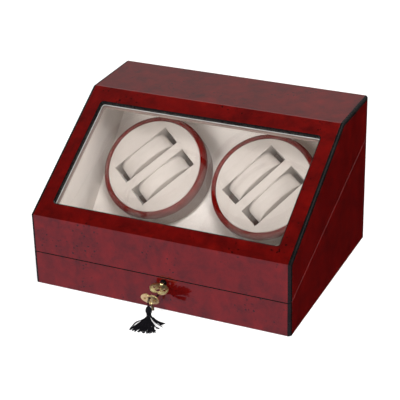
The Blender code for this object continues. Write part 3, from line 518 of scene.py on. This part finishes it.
def tube(name, points, radius, material, cyclic=False, sides=3):
    curve = bpy.data.curves.new(name, "CURVE")
    curve.dimensions = "3D"
    curve.bevel_depth, curve.bevel_resolution = radius, sides
    curve.use_fill_caps = True
    spline = curve.splines.new("POLY")
    spline.points.add(len(points) - 1)
    for point, place in zip(spline.points, points):
        point.co = (*place, 1)
    spline.use_cyclic_u = cyclic
    return linked(name, curve, material)


def facing_front(x, z):
    return Matrix.Translation((x, 0, z)) @ STANDING


def arc(centre, radius, start, end, steps):
    rx, ry = radius if isinstance(radius, tuple) else (radius, radius)
    angles = [math.radians(start + (end - start) * i / steps) for i in range(steps + 1)]
    return [(centre[0] + rx * math.cos(a), centre[1] + ry * math.sin(a)) for a in angles]


def round_rectangle(low, high, radius, steps=8):
    (x0, y0), (x1, y1) = low, high
    corners = (((x1 - radius, y0 + radius), -90), ((x1 - radius, y1 - radius), 0),
               ((x0 + radius, y1 - radius), 90), ((x0 + radius, y0 + radius), 180))
    return [p for centre, a in corners for p in arc(centre, radius, a, a + 90, steps)]


def inset(outline, distances):
    """The outline with each side moved inwards by its own distance; side i starts at point i."""
    count = len(outline)
    area = sum(outline[i][0] * outline[(i + 1) % count][1]
               - outline[(i + 1) % count][0] * outline[i][1] for i in range(count))
    sides = []
    for i in range(count):
        start = Vector(outline[i])
        run = (Vector(outline[(i + 1) % count]) - start).normalized()
        inwards = Vector((-run.y, run.x)) * math.copysign(1, area)
        sides.append((start + inwards * distances[i], run))
    moved = []
    for i in range(count):
        (a, run_a), (b, run_b) = sides[i - 1], sides[i]
        along = (b - a).cross(run_b) / run_a.cross(run_b)
        moved.append(tuple(a + run_a * along))
    return moved


def baked(obj):
    """The object with its modifiers applied."""
    graph = bpy.context.evaluated_depsgraph_get()
    mesh = bpy.data.meshes.new_from_object(obj.evaluated_get(graph))
    obj.modifiers.clear()
    obj.data = mesh
    return obj


def combined(obj, operation, *others):
    """The object cut by, or fused with, the others, which are used up."""
    for other in others:
        change = obj.modifiers.new(operation, "BOOLEAN")
        change.operation, change.solver, change.object = operation, "EXACT", other
    bpy.context.view_layer.update()
    baked(obj)
    for other in others:
        bpy.data.objects.remove(other)
    shape = bmesh.new()
    shape.from_mesh(obj.data)
    bmesh.ops.dissolve_limit(shape, angle_limit=math.radians(0.5), verts=shape.verts,
                             edges=shape.edges, delimit={"MATERIAL"})
    shape.to_mesh(obj.data)
    shape.free()
    return obj


def cut(obj, *cutters):
    return combined(obj, "DIFFERENCE", *cutters)


def fuse(obj, *others):
    return combined(obj, "UNION", *others)


def softened(obj, width, segments=3, angle=30):
    """Rounded edges whose flat faces stay flat."""
    obj.data.shade_smooth()
    bevel = obj.modifiers.new("soften", "BEVEL")
    bevel.width, bevel.segments = width, segments
    bevel.limit_method, bevel.angle_limit = "ANGLE", math.radians(angle)
    bevel.harden_normals = True
    bevel.use_clamp_overlap = True
    weighted = obj.modifiers.new("weighted", "WEIGHTED_NORMAL")
    weighted.mode, weighted.weight, weighted.keep_sharp = "FACE_AREA", 100, True
    return obj


def dress(obj, body, slot, *replaced):
    """The piece rides on a body and stands for the nodes named, which it hides. The slot argument is not
    used.
    """
    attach(obj, body)
    if replaced:
        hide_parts(*replaced)
    return obj


def refinish(material, *nodes):
    """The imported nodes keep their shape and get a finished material."""
    for node in nodes:
        obj = NODES[node]
        if not obj.material_slots:
            obj.data.materials.append(material)
        for holder in obj.material_slots:
            holder.material = material


# ---------------------------------------------------------------- outlines of the case


def split_z(y):
    return SPLIT_FRONT + (y - FRONT) * (SPLIT_BACK - SPLIT_FRONT) / DEPTH


# Sides in order: front, slanted, top, back, parting
LID_OUTLINE = [
    (FRONT, split_z(FRONT) + HALF_PARTING), (FRONT, FRONT_HEIGHT), (BACK - TOP_DEPTH, HEIGHT),
    (BACK, HEIGHT), (BACK, split_z(BACK) + HALF_PARTING),
]
# Sides in order: front, parting, back, underside
BASE_OUTLINE = [
    (FRONT, UNDERSIDE), (FRONT, split_z(FRONT) - HALF_PARTING),
    (BACK, split_z(BACK) - HALF_PARTING), (BACK, UNDERSIDE),
]


def lid_inset(distance):
    return inset(LID_OUTLINE, [distance] * 4 + [0])


def base_inset(distance):
    return inset(BASE_OUTLINE, [distance, 0, distance, 0])


RISE, RUN = HEIGHT - FRONT_HEIGHT, BACK - TOP_DEPTH - FRONT
SLANT = Matrix.Translation((0, FRONT, FRONT_HEIGHT)) @ Matrix.Rotation(math.atan2(RISE, RUN), 4, "X")


def window_outline(grow, radius):
    half = WIDTH / 2 - WINDOW_SIDE + grow
    high = math.hypot(RISE, RUN) - WINDOW_TOP + grow
    return round_rectangle((-half, WINDOW_BOTTOM - grow), (half, high), radius)


# ---------------------------------------------------------------- case boards


def chamfered(outline, corner):
    """The outline with one corner cut off."""
    here = Vector(outline[corner])
    before, after = Vector(outline[corner - 1]), Vector(outline[(corner + 1) % len(outline)])
    ends = [tuple(here + (other - here).normalized() * PARTING_EDGE) for other in (before, after)]
    return outline[:corner] + ends + outline[corner + 1:]


def paint_parting_shade(obj, offset):
    """The board's edge along the parting is painted black: painted shade for the dark gap between lid and
    base. Offset is its height above the middle line.
    """
    for face in obj.data.polygons:
        above = (face.center.z - split_z(face.center.y) - offset) * math.copysign(1, offset)
        if abs(face.normal.x) < 0.5 and above < 0.75 * PARTING_EDGE:
            face.material_index = 1


def ease_window(shell):
    """The window's edge is eased and painted black, down to the glass."""
    to_slant = SLANT.inverted()
    high = math.hypot(RISE, RUN) - WINDOW_TOP
    shape = bmesh.new()
    shape.from_mesh(shell.data)
    reveal = set()
    for face in shape.faces:
        centre, normal = to_slant @ face.calc_center_median(), to_slant.to_3x3() @ face.normal
        inside = abs(centre.x) < WIDTH / 2 - WINDOW_SIDE + 6 * MM
        inside = inside and WINDOW_BOTTOM - 6 * MM < centre.y < high + 6 * MM
        if inside and -9.5 * MM < centre.z < -0.05 * MM and abs(normal.z) < 0.5:
            reveal.add(face)
            face.material_index = 1
    rim = [edge for face in reveal for edge in face.edges
           if all((to_slant @ vertex.co).z > -0.01 * MM for vertex in edge.verts)]
    bmesh.ops.bevel(shape, geom=rim, offset=WINDOW_EASE, segments=5, profile=0.5, affect="EDGES",
                    material=1)
    shape.to_mesh(shell.data)
    shape.free()


def make_lid_case():
    outer, inner = chamfered(chamfered(LID_OUTLINE, 4), 0), lid_inset(BOARD)
    ring = outer + inner[::-1]
    shell = extruded("lid_shell", ring, -EDGE_X, EDGE_X, SIDE_VIEW, BURL, BLACK)
    opening = extruded("opening", window_outline(0, WINDOW_CORNER), -WINDOW_CUT_DEPTH,
                       5 * MM, SLANT)
    rebate = extruded("rebate", window_outline(GLASS_REBATE, WINDOW_CORNER), -WINDOW_CUT_DEPTH,
                      GLASS_TOP + GAP, SLANT)
    cut(shell, opening, rebate)
    ease_window(shell)
    # Painted shade: the lid's parting edge is black.
    paint_parting_shade(shell, HALF_PARTING)
    softened(shell, SOFT_EDGE)
    dress(shell, "lid", "burl_lacquer", "lid_front_board", "window_board", "lid_top_board",
          "lid_back_board")


def make_base_case():
    inner = base_inset(BOARD)
    front = extruded("base_front", chamfered([BASE_OUTLINE[0], BASE_OUTLINE[1], inner[1], inner[0]], 1),
                     -EDGE_X, EDGE_X, SIDE_VIEW, BURL, BLACK)
    cut(front, turned("way", [(0, -FRONT - CUT_DEPTH), (LOCK_HOLE, -FRONT - CUT_DEPTH),
                              (LOCK_HOLE, -FRONT + MM), (0, -FRONT + MM)], 48,
                      facing_front(LOCK_X, LOCK_Z)))
    # Painted shade: the base front's parting edge is black.
    paint_parting_shade(front, -HALF_PARTING)
    dress(softened(front, SOFT_EDGE), "base", "burl_lacquer", "base_front_board")
    back = extruded("base_back", chamfered([BASE_OUTLINE[2], BASE_OUTLINE[3], inner[3], inner[2]], 0),
                    -EDGE_X, EDGE_X, SIDE_VIEW, BURL, BLACK)
    cut(back, box("way", (-CONTROL_HALF, BACK - CUT_DEPTH, CONTROL_Z - CONTROL_HALF_HEIGHT),
                  (CONTROL_HALF, BACK + MM, CONTROL_Z + CONTROL_HALF_HEIGHT)))
    # Painted shade: the base back's parting edge is black.
    paint_parting_shade(back, -HALF_PARTING)
    dress(softened(back, SOFT_EDGE), "base", "burl_lacquer", "base_back_board")


def make_side(name, outline_of, sign, body, replaced):
    """A side panel, let in flush between the black edges."""
    outer, tongue = outline_of(EDGE_RADIUS), outline_of(BOARD + GAP)
    panel = extruded(name, outer, sign * (EDGE_X - MM), sign * WIDTH / 2, SIDE_VIEW, BURL)
    fuse(panel, extruded("tongue", tongue, sign * INNER_X, sign * EDGE_X, SIDE_VIEW))
    dress(softened(panel, 0.25 * MM, 2), body, "burl_lacquer", replaced)


def make_edge(name, outline_of, path, sign, body, replaced):
    """A quarter-round black edge that follows part of the outline."""
    profile = [(x, EDGE_RADIUS - depth)
               for x, depth in arc((EDGE_X, 0), EDGE_RADIUS, 90, 0, 14)]
    profile += [(WIDTH / 2 - 2 * MM, EDGE_RADIUS), (EDGE_X, 2 * MM)]
    shape = bmesh.new()
    insets = [outline_of(depth) for _, depth in profile]
    rings = [[shape.verts.new((sign * x, *outline[point]))
              for (x, _), outline in zip(profile, insets)] for point in path]
    for ring, following in zip(rings, rings[1:]):
        for i in range(len(ring)):
            j = (i + 1) % len(ring)
            shape.faces.new((ring[i], ring[j], following[j], following[i]))
    shape.faces.new(rings[0])
    shape.faces.new(rings[-1])
    edge = solid(name, shape, BLACK)
    edge.data.set_sharp_from_angle(angle=math.radians(24))
    dress(edge, body, "black_lacquer", replaced)


def make_case():
    make_lid_case()
    make_base_case()
    for side, sign in (("left", -1), ("right", 1)):
        make_side("lid_panel_" + side, lid_inset, sign, "lid", "lid_side_" + side)
        make_side("base_panel_" + side, base_inset, sign, "base", "base_side_" + side)
        make_edge("lid_rim_" + side, lid_inset, (0, 1, 2, 3, 4), sign, "lid", "lid_edge_" + side)
        make_edge("base_front_rim_" + side, base_inset, (0, 1), sign, "base",
                  "base_front_edge_" + side)
        make_edge("base_back_rim_" + side, base_inset, (2, 3), sign, "base",
                  "base_back_edge_" + side)
    refinish(LINING, "base_lining", "lid_lining", "storage_tray")
    # The turntable panel takes the lightened suede, painted light against the lid's shade.
    refinish(PANEL_SUEDE_PAINTED_LIGHT, "turntable_panel")
    # Painted shade: the glazing bead takes the darkened suede.
    refinish(WALL_PAINTED_SHADE, "glass_bead")
    refinish(BARE, "bottom_board")
    refinish(FELT, "underside_felt")
    refinish(GLASS, "window_glass")
    softened(NODES["storage_tray"], 0.7 * MM, 2)
    softened(NODES["glass_bead"], 0.6 * MM, 2)
    # A glazing seal round the glass, coloured pale grey as a painted highlight along its edge.
    seal = tube("glazing_seal", [SLANT @ Vector((x, y, GLASS_TOP + 0.25 * MM))
                                 for x, y in window_outline(-0.25 * MM, WINDOW_CORNER)],
                SEAL_RADIUS, SEAL, cyclic=True)
    dress(seal, "lid", "window_glass")


# ---------------------------------------------------------------- cushions


SWELL_STEPS = 20


def swollen(obj, voxel, pressure, cap):
    """The closed shape swells as its filling presses outwards; no point moves further than cap."""
    remesh = obj.modifiers.new("remesh", "REMESH")
    remesh.mode, remesh.voxel_size = "VOXEL", voxel
    bpy.context.view_layer.update()
    baked(obj)
    obj.data.shade_smooth()
    rest = [vertex.co.copy() for vertex in obj.data.vertices]
    cloth = obj.modifiers.new("cloth", "CLOTH")
    settings = cloth.settings
    settings.quality, settings.mass = 6, 0.05
    settings.use_pressure, settings.uniform_pressure_force = True, pressure
    settings.effector_weights.gravity = 0
    scene = bpy.context.scene
    for step in range(1, SWELL_STEPS + 1):
        scene.frame_set(step)
    graph = bpy.context.evaluated_depsgraph_get()
    swelled = obj.evaluated_get(graph).to_mesh()
    moved = [vertex.co.copy() for vertex in swelled.vertices]
    obj.evaluated_get(graph).to_mesh_clear()
    obj.modifiers.clear()
    scene.frame_set(1)
    for vertex, a, b in zip(obj.data.vertices, rest, moved):
        shift = b - a
        if shift.length > cap:
            shift *= cap / shift.length
        vertex.co = a + shift
    smooth = obj.modifiers.new("smooth", "SUBSURF")
    smooth.levels = smooth.render_levels = 1
    return obj


def oval(length, thickness, bulge, steps=56):
    """An outline between an ellipse, at bulge 2, and a rectangle, at a high bulge."""
    points = []
    for step in range(steps):
        angle = 2 * math.pi * (step + 0.5) / steps
        x, z = math.cos(angle), math.sin(angle)
        reach = (abs(x) ** bulge + abs(z) ** bulge) ** (-1 / bulge)
        points.append((length / 2 * x * reach, thickness / 2 * z * reach))
    return points


def cushion_mesh(name, size, bulge, crown):
    """An oval cushion: a band of cloth round two flat side panels, with a piped seam at each."""
    length, width, thickness = size
    outline = oval(length - 2 * crown, thickness - 2 * crown, bulge)
    half = width / 2 - 0.9 * MM
    core = softened(extruded(name, outline, -half, half, STANDING), 2.5 * MM, 4)
    swollen(baked(core), 1.7 * MM, 4, crown)
    bpy.context.view_layer.update()
    baked(core)
    shape = bmesh.new()
    shape.from_mesh(core.data)
    for side in (-1, 1):
        add_ring(shape, outline_at(outline, 0.985), side * (half - 0.5 * MM), 0.55 * MM)
    mesh = bpy.data.meshes.new(name)
    shape.to_mesh(mesh)
    shape.free()
    mesh.shade_smooth()
    bpy.data.objects.remove(core)
    return mesh


def outline_at(outline, scale):
    return [(x * scale, y * scale) for x, y in outline]


def add_ring(shape, outline, offset, radius):
    """A cord of piping round an outline in local X and Z, at Y = offset, added to the shape."""
    count, sides = len(outline), 6
    rings = []
    for i in range(count):
        here, before, after = Vector(outline[i]), Vector(outline[i - 1]), Vector(outline[(i + 1) % count])
        run = (after - before).normalized()
        out = Vector((run.y, -run.x))
        rings.append([
            shape.verts.new((here.x + out.x * radius * a, offset + radius * b, here.y + out.y * radius * a))
            for a, b in arc((0, 0), 1, 0, 360 - 360 / sides, sides - 1)])
    for i in range(count):
        ring, following = rings[i], rings[(i + 1) % count]
        for k in range(sides):
            j = (k + 1) % sides
            shape.faces.new((ring[k], following[k], following[j], ring[j]))


def turntable_matrix(side):
    place, spin, _ = TURNTABLES[side]
    tilt = Matrix.Rotation(TURNTABLE_TILT, 4, "X")
    return Matrix.Translation(place) @ tilt @ Matrix.Rotation(spin, 4, "Z")


def make_pillows():
    watch = cushion_mesh("watch_cushion", WATCH_PILLOW, WATCH_BULGE, 1.0 * MM)
    watch.materials.append(SUEDE)
    seat = DRUM_FLOOR + GAP + WATCH_PILLOW[2] / 2
    for side, (_, _, numbers) in TURNTABLES.items():
        for number, offset in zip(numbers, (SLOT_OFFSET, -SLOT_OFFSET)):
            place = turntable_matrix(side) @ Matrix.Translation((0, offset, seat))
            mesh = watch.copy()
            mesh.transform(place)
            pillow = linked(f"watch_cushion_{number}", mesh)
            dress(pillow, f"watch_pillow_{number}", "suede", f"watch_pillow_{number}")
    storage = cushion_mesh("storage_cushion", STORAGE_PILLOW, STORAGE_BULGE, 1.2 * MM)
    storage.materials.append(SUEDE)
    for number in range(1, 7):
        low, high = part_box(f"storage_pillow_{number}")
        middle = (Vector(low) + Vector(high)) / 2
        mesh = storage.copy()
        mesh.transform(Matrix.Translation(middle) @ Matrix.Rotation(math.pi / 2, 4, "Z"))
        pillow = linked(f"storage_cushion_{number}", mesh)
        dress(pillow, f"storage_pillow_{number}", "suede", f"storage_pillow_{number}")


# ---------------------------------------------------------------- turntables


def make_turntable(side):
    place = turntable_matrix(side)
    body = f"turntable_{side}"
    inner, back = PAD_RADIUS + GAP, -DRUM_DEPTH
    middle = inner + 2.0 * MM
    crown = arc((middle, -6 * MM), (RIM_RADIUS - middle, 6.6 * MM), 90, 0, 14)
    lip = arc((inner + 0.9 * MM, -0.25 * MM), 0.9 * MM, 180, 70, 6)
    rim = turned(f"rim_{side}", [(inner, -9 * MM), *lip, *crown, (RIM_RADIUS, -8 * MM),
                                 (DRUM_RADIUS - 0.4 * MM, -9.6 * MM), (inner + MM, -9.6 * MM)],
                 128, place, CHERRY, closed=True)
    rim.data.set_sharp_from_angle(angle=math.radians(42))
    dress(rim, body, "burl_lacquer")
    # The drum's wall takes the darkened suede, painted shade.
    wall = turned(f"drum_wall_{side}",
                  [(0, back + DRUM_BACK), (inner, back + DRUM_BACK), (inner, -9.9 * MM),
                   (DRUM_RADIUS - 0.5 * MM, -9.9 * MM),
                   *arc((DRUM_RADIUS - 1.2 * MM, back + 1.2 * MM), 1.2 * MM, 0, -90, 6), (0, back)],
                  128, place, WALL_PAINTED_SHADE)
    wall.data.set_sharp_from_angle(angle=math.radians(42))
    dress(wall, body, "suede", f"drum_{side}")
    make_pad(side, place, body)


def make_pad(side, place, body):
    """The padded disc: a crowned edge and two slots with softly rounded mouths."""
    outline = arc((0, 0), PAD_RADIUS, 0, 360 - 3, 119)
    pad = extruded(f"disc_{side}", outline, DRUM_FLOOR, 0, Matrix(), SUEDE)
    slots = [box("slot", (-SLOT_LENGTH / 2, offset - SLOT_WIDTH / 2, DRUM_FLOOR - MM),
                 (SLOT_LENGTH / 2, offset + SLOT_WIDTH / 2, MM))
             for offset in (SLOT_OFFSET, -SLOT_OFFSET)]
    cut(pad, *slots)
    softened(pad, 1.0 * MM, 4, 50)
    baked(pad)
    pad.data.transform(place)
    dress(pad, body, "suede", f"pad_{side}")


# ---------------------------------------------------------------- lock, keys, cord and tassel


def bow_outline(steps=120):
    """A wide two-lobed bow, with a notch in its outer edge."""
    points = []
    for step in range(steps):
        angle = 2 * math.pi * step / steps
        from_top = math.degrees(angle) - 90
        notch = 2.2 * math.exp(-((from_top / 18) ** 2))
        radius = (9.3 + 1.3 * math.cos(2 * angle) - notch) * MM
        points.append((1.12 * radius * math.cos(angle), radius * math.sin(angle)))
    return points


# The bow's holes: across, along and radius
BOW_HOLES = ((0, 2.2, 2.2), (-6.4, -0.4, 1.6), (6.4, -0.4, 1.6), (0, -3.4, 1.2))


def round_bar(name, radius, start, end, place):
    return turned(name, [(0, start), (radius, start), (radius, end), (0, end)], 32, place)


def make_key(name, place, bit_turn, droop=0.0):
    """A pierced brass key with a collar, a turned shaft and a bit."""
    neck = Matrix.Translation((0, 0, -BOW_NECK)) @ Matrix.Rotation(droop, 4, "X")
    bow_frame = neck @ Matrix.Translation((0, 0, BOW_NECK))
    key = extruded(name, bow_outline(), -0.8 * MM, 0.8 * MM, STANDING, BRASS)
    holes = [round_bar("hole", radius * MM, -3 * MM, 3 * MM,
                       Matrix.Translation((across * MM, 0, along * MM)) @ STANDING)
             for across, along, radius in BOW_HOLES]
    cut(key, *holes)
    softened(key, 0.45 * MM, 4)
    baked(key)
    key.data.transform(bow_frame)
    shaft = turned("shaft", [(0, -20.5 * MM), (1.1 * MM, -20.5 * MM), (1.5 * MM, -20.1 * MM),
                             (1.5 * MM, -8.4 * MM), (2.4 * MM, -8.0 * MM), (2.4 * MM, -6.9 * MM),
                             (1.9 * MM, -6.3 * MM), (1.3 * MM, -5.7 * MM), (0, -5.7 * MM)], 32,
                   Matrix())
    bit = softened(box("bit", (-0.5 * MM, 0.5 * MM, -20 * MM), (0.5 * MM, 2.7 * MM, -17 * MM)),
                   0.15 * MM, 2)
    baked(bit)
    bit.data.transform(Matrix.Rotation(bit_turn, 4, "Z"))
    fuse(key, shaft, bit)
    key.data.transform(place)
    key.data.set_sharp_from_angle(angle=math.radians(40))
    return key


def smooth_route(points, spacing):
    knots = [Vector(p) for p in points]
    knots = [2 * knots[0] - knots[1], *knots, 2 * knots[-1] - knots[-2]]
    route = [knots[1]]
    for a, b, c, d in zip(knots, knots[1:], knots[2:], knots[3:]):
        steps = max(1, round((c - b).length / spacing))
        for i in range(1, steps + 1):
            t = i / steps
            blend = (2 * b + (c - a) * t + (2 * a - 5 * b + 4 * c - d) * t * t
                     + (3 * b - a - 3 * c + d) * t ** 3)
            route.append(blend / 2)
    return route


# One run of the tassel's cord, from the top of the tassel's head to the key's shank
CORD_RUN = [
    (0.8, -161.0, 18.7), (0.5, -160.7, 21.4), (0.2, -159.4, 24.8), (0.0, -157.2, 26.9),
    (0.2, -155.2, 27.2), (1.0, -152.2, 26.0), (2.6, -148.0, 24.4), (4.8, -143.4, 24.6),
    (6.5, -139.4, 27.4), (7.3, -137.2, 31.2),
]
CORD_HALF_SPREAD, CORD_RADIUS = 0.75, 0.5 * MM


def make_cord():
    up = [((x - CORD_HALF_SPREAD) * MM, y * MM, z * MM) for x, y, z in CORD_RUN]
    down = [((x + CORD_HALF_SPREAD) * MM, y * MM, z * MM) for x, y, z in CORD_RUN]
    turn = [(LOCK_X + a, LOOP_Y, LOCK_Z + b)
            for a, b in arc((0, 0), 2.6 * MM, 200, -20, 6)]
    route = smooth_route([*up, *turn, *reversed(down)], 2 * MM)
    cord = tube("tassel_loop", route, CORD_RADIUS, THREAD)
    dress(cord, "tassel", "black_thread", "tassel_cord")
    length = sum((b - a).length for a, b in zip(route, route[1:]))
    tuple(route[0])


def make_tassel():
    """A bound head, a wound neck and a skirt of threads that splay on the floor."""
    draw = random.Random(7)
    x, y = TASSEL_X, TASSEL_Y
    profile = [(0, 18.9), (0.9, 18.8), (1.8, 18.2), (2.8, 16.9), (3.5, 15.0), (3.8, 12.9),
               (3.6, 10.9), (2.9, 9.3), (2.3, 8.6), (0, 8.4)]
    head = turned("tassel_head", [(r * MM, h * MM) for r, h in profile], 96, Matrix(), THREAD)
    for vertex in head.data.vertices:
        radius = math.hypot(vertex.co.x, vertex.co.y)
        if radius > MM:
            angle = math.atan2(vertex.co.y, vertex.co.x)
            ridge = 1 + 0.035 * math.cos(24 * angle + 300 * vertex.co.z)
            vertex.co.x *= ridge
            vertex.co.y *= ridge
    head.data.transform(Matrix.Translation((x, y, 0)))
    dress(head, "tassel", "black_thread", "tassel")
    winding = []
    for i in range(5 * 16 + 1):
        angle = 2 * math.pi * i / 16
        winding.append((x + 2.6 * MM * math.cos(angle), y + 2.6 * MM * math.sin(angle),
                        (9.6 - 0.62 * i / 16) * MM))
    dress(tube("tassel_winding", winding, 0.36 * MM, THREAD), "tassel", "black_thread")
    curve = bpy.data.curves.new("tassel_skirt", "CURVE")
    curve.dimensions = "3D"
    curve.bevel_depth, curve.bevel_resolution = 0.48 * MM, 1
    curve.use_fill_caps = True
    for route in skirt_threads(draw, x, y):
        spline = curve.splines.new("POLY")
        spline.points.add(len(route) - 1)
        for point, place in zip(spline.points, route):
            point.co = (*place, 1)
    dress(linked("tassel_skirt", curve, THREAD), "tassel", "black_thread")


# Bunches of threads: heading and spread in degrees, how many, shortest and longest in mm
SKIRT = ((-82, 62, 112, 25, 31.5), (-46, 4, 3, 24, 27), (-35, 3, 3, 24, 27), (-12, 14, 14, 17, 22))


def skirt_threads(draw, x, y):
    """Threads that fall from the neck to the floor and run out in a fan."""
    for heading, spread_out, count, shortest, longest in SKIRT:
        for index in range(count):
            share = (index + 0.5) / count - 0.5
            direction = math.radians(heading + spread_out * share) + draw.gauss(0, 0.05)
            reach = draw.uniform(shortest, longest) * MM
            yield skirt_thread(draw, x, y, direction, reach)


def skirt_thread(draw, x, y, direction, reach):
    out = Vector((math.cos(direction), math.sin(direction), 0))
    start = Vector((x, y, 8.6 * MM)) + out * draw.uniform(0.3, 1.9) * MM
    lift = draw.uniform(0.5, 2.6) * MM
    sway = Vector((-out.y, out.x, 0)) * draw.gauss(0, 1.2) * MM
    foot = Vector((x, y, 0))
    knots = [
        start,
        foot + out * (2.7 + draw.uniform(-0.4, 1.0)) * MM
        + Vector((0, 0, (6.0 + draw.uniform(-0.8, 0.8)) * MM)),
        foot + out * 0.30 * reach + sway * 0.5
        + Vector((0, 0, (3.8 + draw.uniform(-1.2, 1.2)) * MM)),
        foot + out * 0.62 * reach + sway + Vector((0, 0, lift + 0.8 * MM)),
        foot + out * reach - sway * 0.7 + Vector((0, 0, max(0.5 * MM, lift * 0.5))),
    ]
    return smooth_route(knots, 3 * MM)


def make_lock():
    c, s = math.cos(KEY_TILT), math.sin(KEY_TILT)
    in_lock = Matrix(((c, s, 0, LOCK_X), (0, 0, -1, KEY_BOW_Y), (-s, c, 0, LOCK_Z), (0, 0, 0, 1)))
    dress(make_key("key_in_lock", in_lock, math.pi + KEY_TILT, BOW_DROOP), "key", "brass", "key")
    leaning = Matrix.Translation(SPARE_BOW) @ Matrix.Rotation(SPARE_LEAN, 4, "X")
    dress(make_key("key_on_tassel", leaning, 0), "tassel", "brass", "spare_key")
    make_cord()
    make_tassel()
    refinish(BRASS, "lock_case", "lid_staple", "hinge_base_leaf", "hinge_lid_leaf", "hinge_pin")
    refinish(BLACKENED, "lock_escutcheon", "lock_plug")
    refinish(STEEL, "lock_bolt", "motor_left", "motor_right", "drive_shaft_left",
             "drive_shaft_right")
    for node in ("lock_case", "lid_staple", "lock_bolt"):
        softened(NODES[node], 0.25 * MM, 2)


# ---------------------------------------------------------------- back


def screw_mesh(radius, height, material):
    """A countersunk screw's head with a cross recess, along local +Z."""
    dome = arc((0, 0), (radius, height), 0, 90, 6)
    head = turned("screw", [(0, -0.2 * MM), (radius, -0.2 * MM), *dome[:-1], (0, height)], 32,
                  Matrix(), material)
    arm, depth = 0.14 * radius, 0.35 * height
    cut(head, box("slot_a", (-0.6 * radius, -arm, depth), (0.6 * radius, arm, 2 * height)),
        box("slot_b", (-arm, -0.6 * radius, depth), (arm, 0.6 * radius, 2 * height)))
    mesh = head.data.copy()
    mesh.set_sharp_from_angle(angle=math.radians(40))
    bpy.data.objects.remove(head)
    return mesh


def spread(name, mesh, places, material):
    """One object that holds a copy of the mesh at each place."""
    shape = bmesh.new()
    for place in places:
        copy = mesh.copy()
        copy.transform(place)
        shape.from_mesh(copy)
        bpy.data.meshes.remove(copy)
    joined = bpy.data.meshes.new(name)
    shape.to_mesh(joined)
    shape.free()
    joined.set_sharp_from_angle(angle=math.radians(40))
    return linked(name, joined, material)


def make_back():
    refinish(PLASTIC, "control_plate", "power_socket", "power_rocker", "mode_knob_left",
             "mode_knob_right")
    refinish(CIRCUIT, "control_board")
    for node in ("control_plate", "power_rocker"):
        softened(NODES[node], 0.4 * MM, 3)
    screw = screw_mesh(1.9 * MM, 0.8 * MM, BRASS)
    leaf_face = BACK + 1.4 * MM
    for name, body, offset in (("base_leaf_screws", "base", -9.5), ("lid_leaf_screws", "lid", 9.5)):
        places = [Matrix.Translation((x * MM, leaf_face, HINGE_Z + offset * MM))
                  @ Matrix.Rotation(-math.pi / 2, 4, "X") @ Matrix.Rotation(0.5 * i, 4, "Z")
                  for i, x in enumerate(range(-5 * SCREW_PITCH, 5 * SCREW_PITCH + 1, SCREW_PITCH))]
        dress(spread(name, screw, places, BRASS), body, "brass")
    small = screw_mesh(1.6 * MM, 0.7 * MM, STEEL)
    places = [Matrix.Translation((x * MM, BACK + 2 * MM, CONTROL_Z + z * MM))
              @ Matrix.Rotation(-math.pi / 2, 4, "X") @ Matrix.Rotation(x, 4, "Z")
              for x in (-46.5, 46.5) for z in (-11.5, 11.5)]
    dress(spread("plate_screws", small, places, STEEL), "base", "steel")
    ticks = []
    for x in KNOBS:
        for angle in range(-135, 136, 45):
            a = math.radians(90 - angle)
            ticks.append(Matrix.Translation(((x + TICK_CIRCLE * math.cos(a)) * MM, BACK + 2.05 * MM,
                                             CONTROL_Z + TICK_CIRCLE * MM * math.sin(a)))
                         @ Matrix.Rotation(math.pi / 2 - a, 4, "Y"))
    tick = softened(box("tick", (-0.25 * MM, -0.05 * MM, -0.8 * MM), (0.25 * MM, 0.08 * MM, 0.8 * MM)),
                    0.04 * MM, 1)
    baked(tick)
    mesh = tick.data.copy()
    bpy.data.objects.remove(tick)
    dress(spread("knob_ticks", mesh, ticks, INK), "base", "black_plastic")


make_case()
make_pillows()
for SIDE in TURNTABLES:
    make_turntable(SIDE)
make_lock()
make_back()
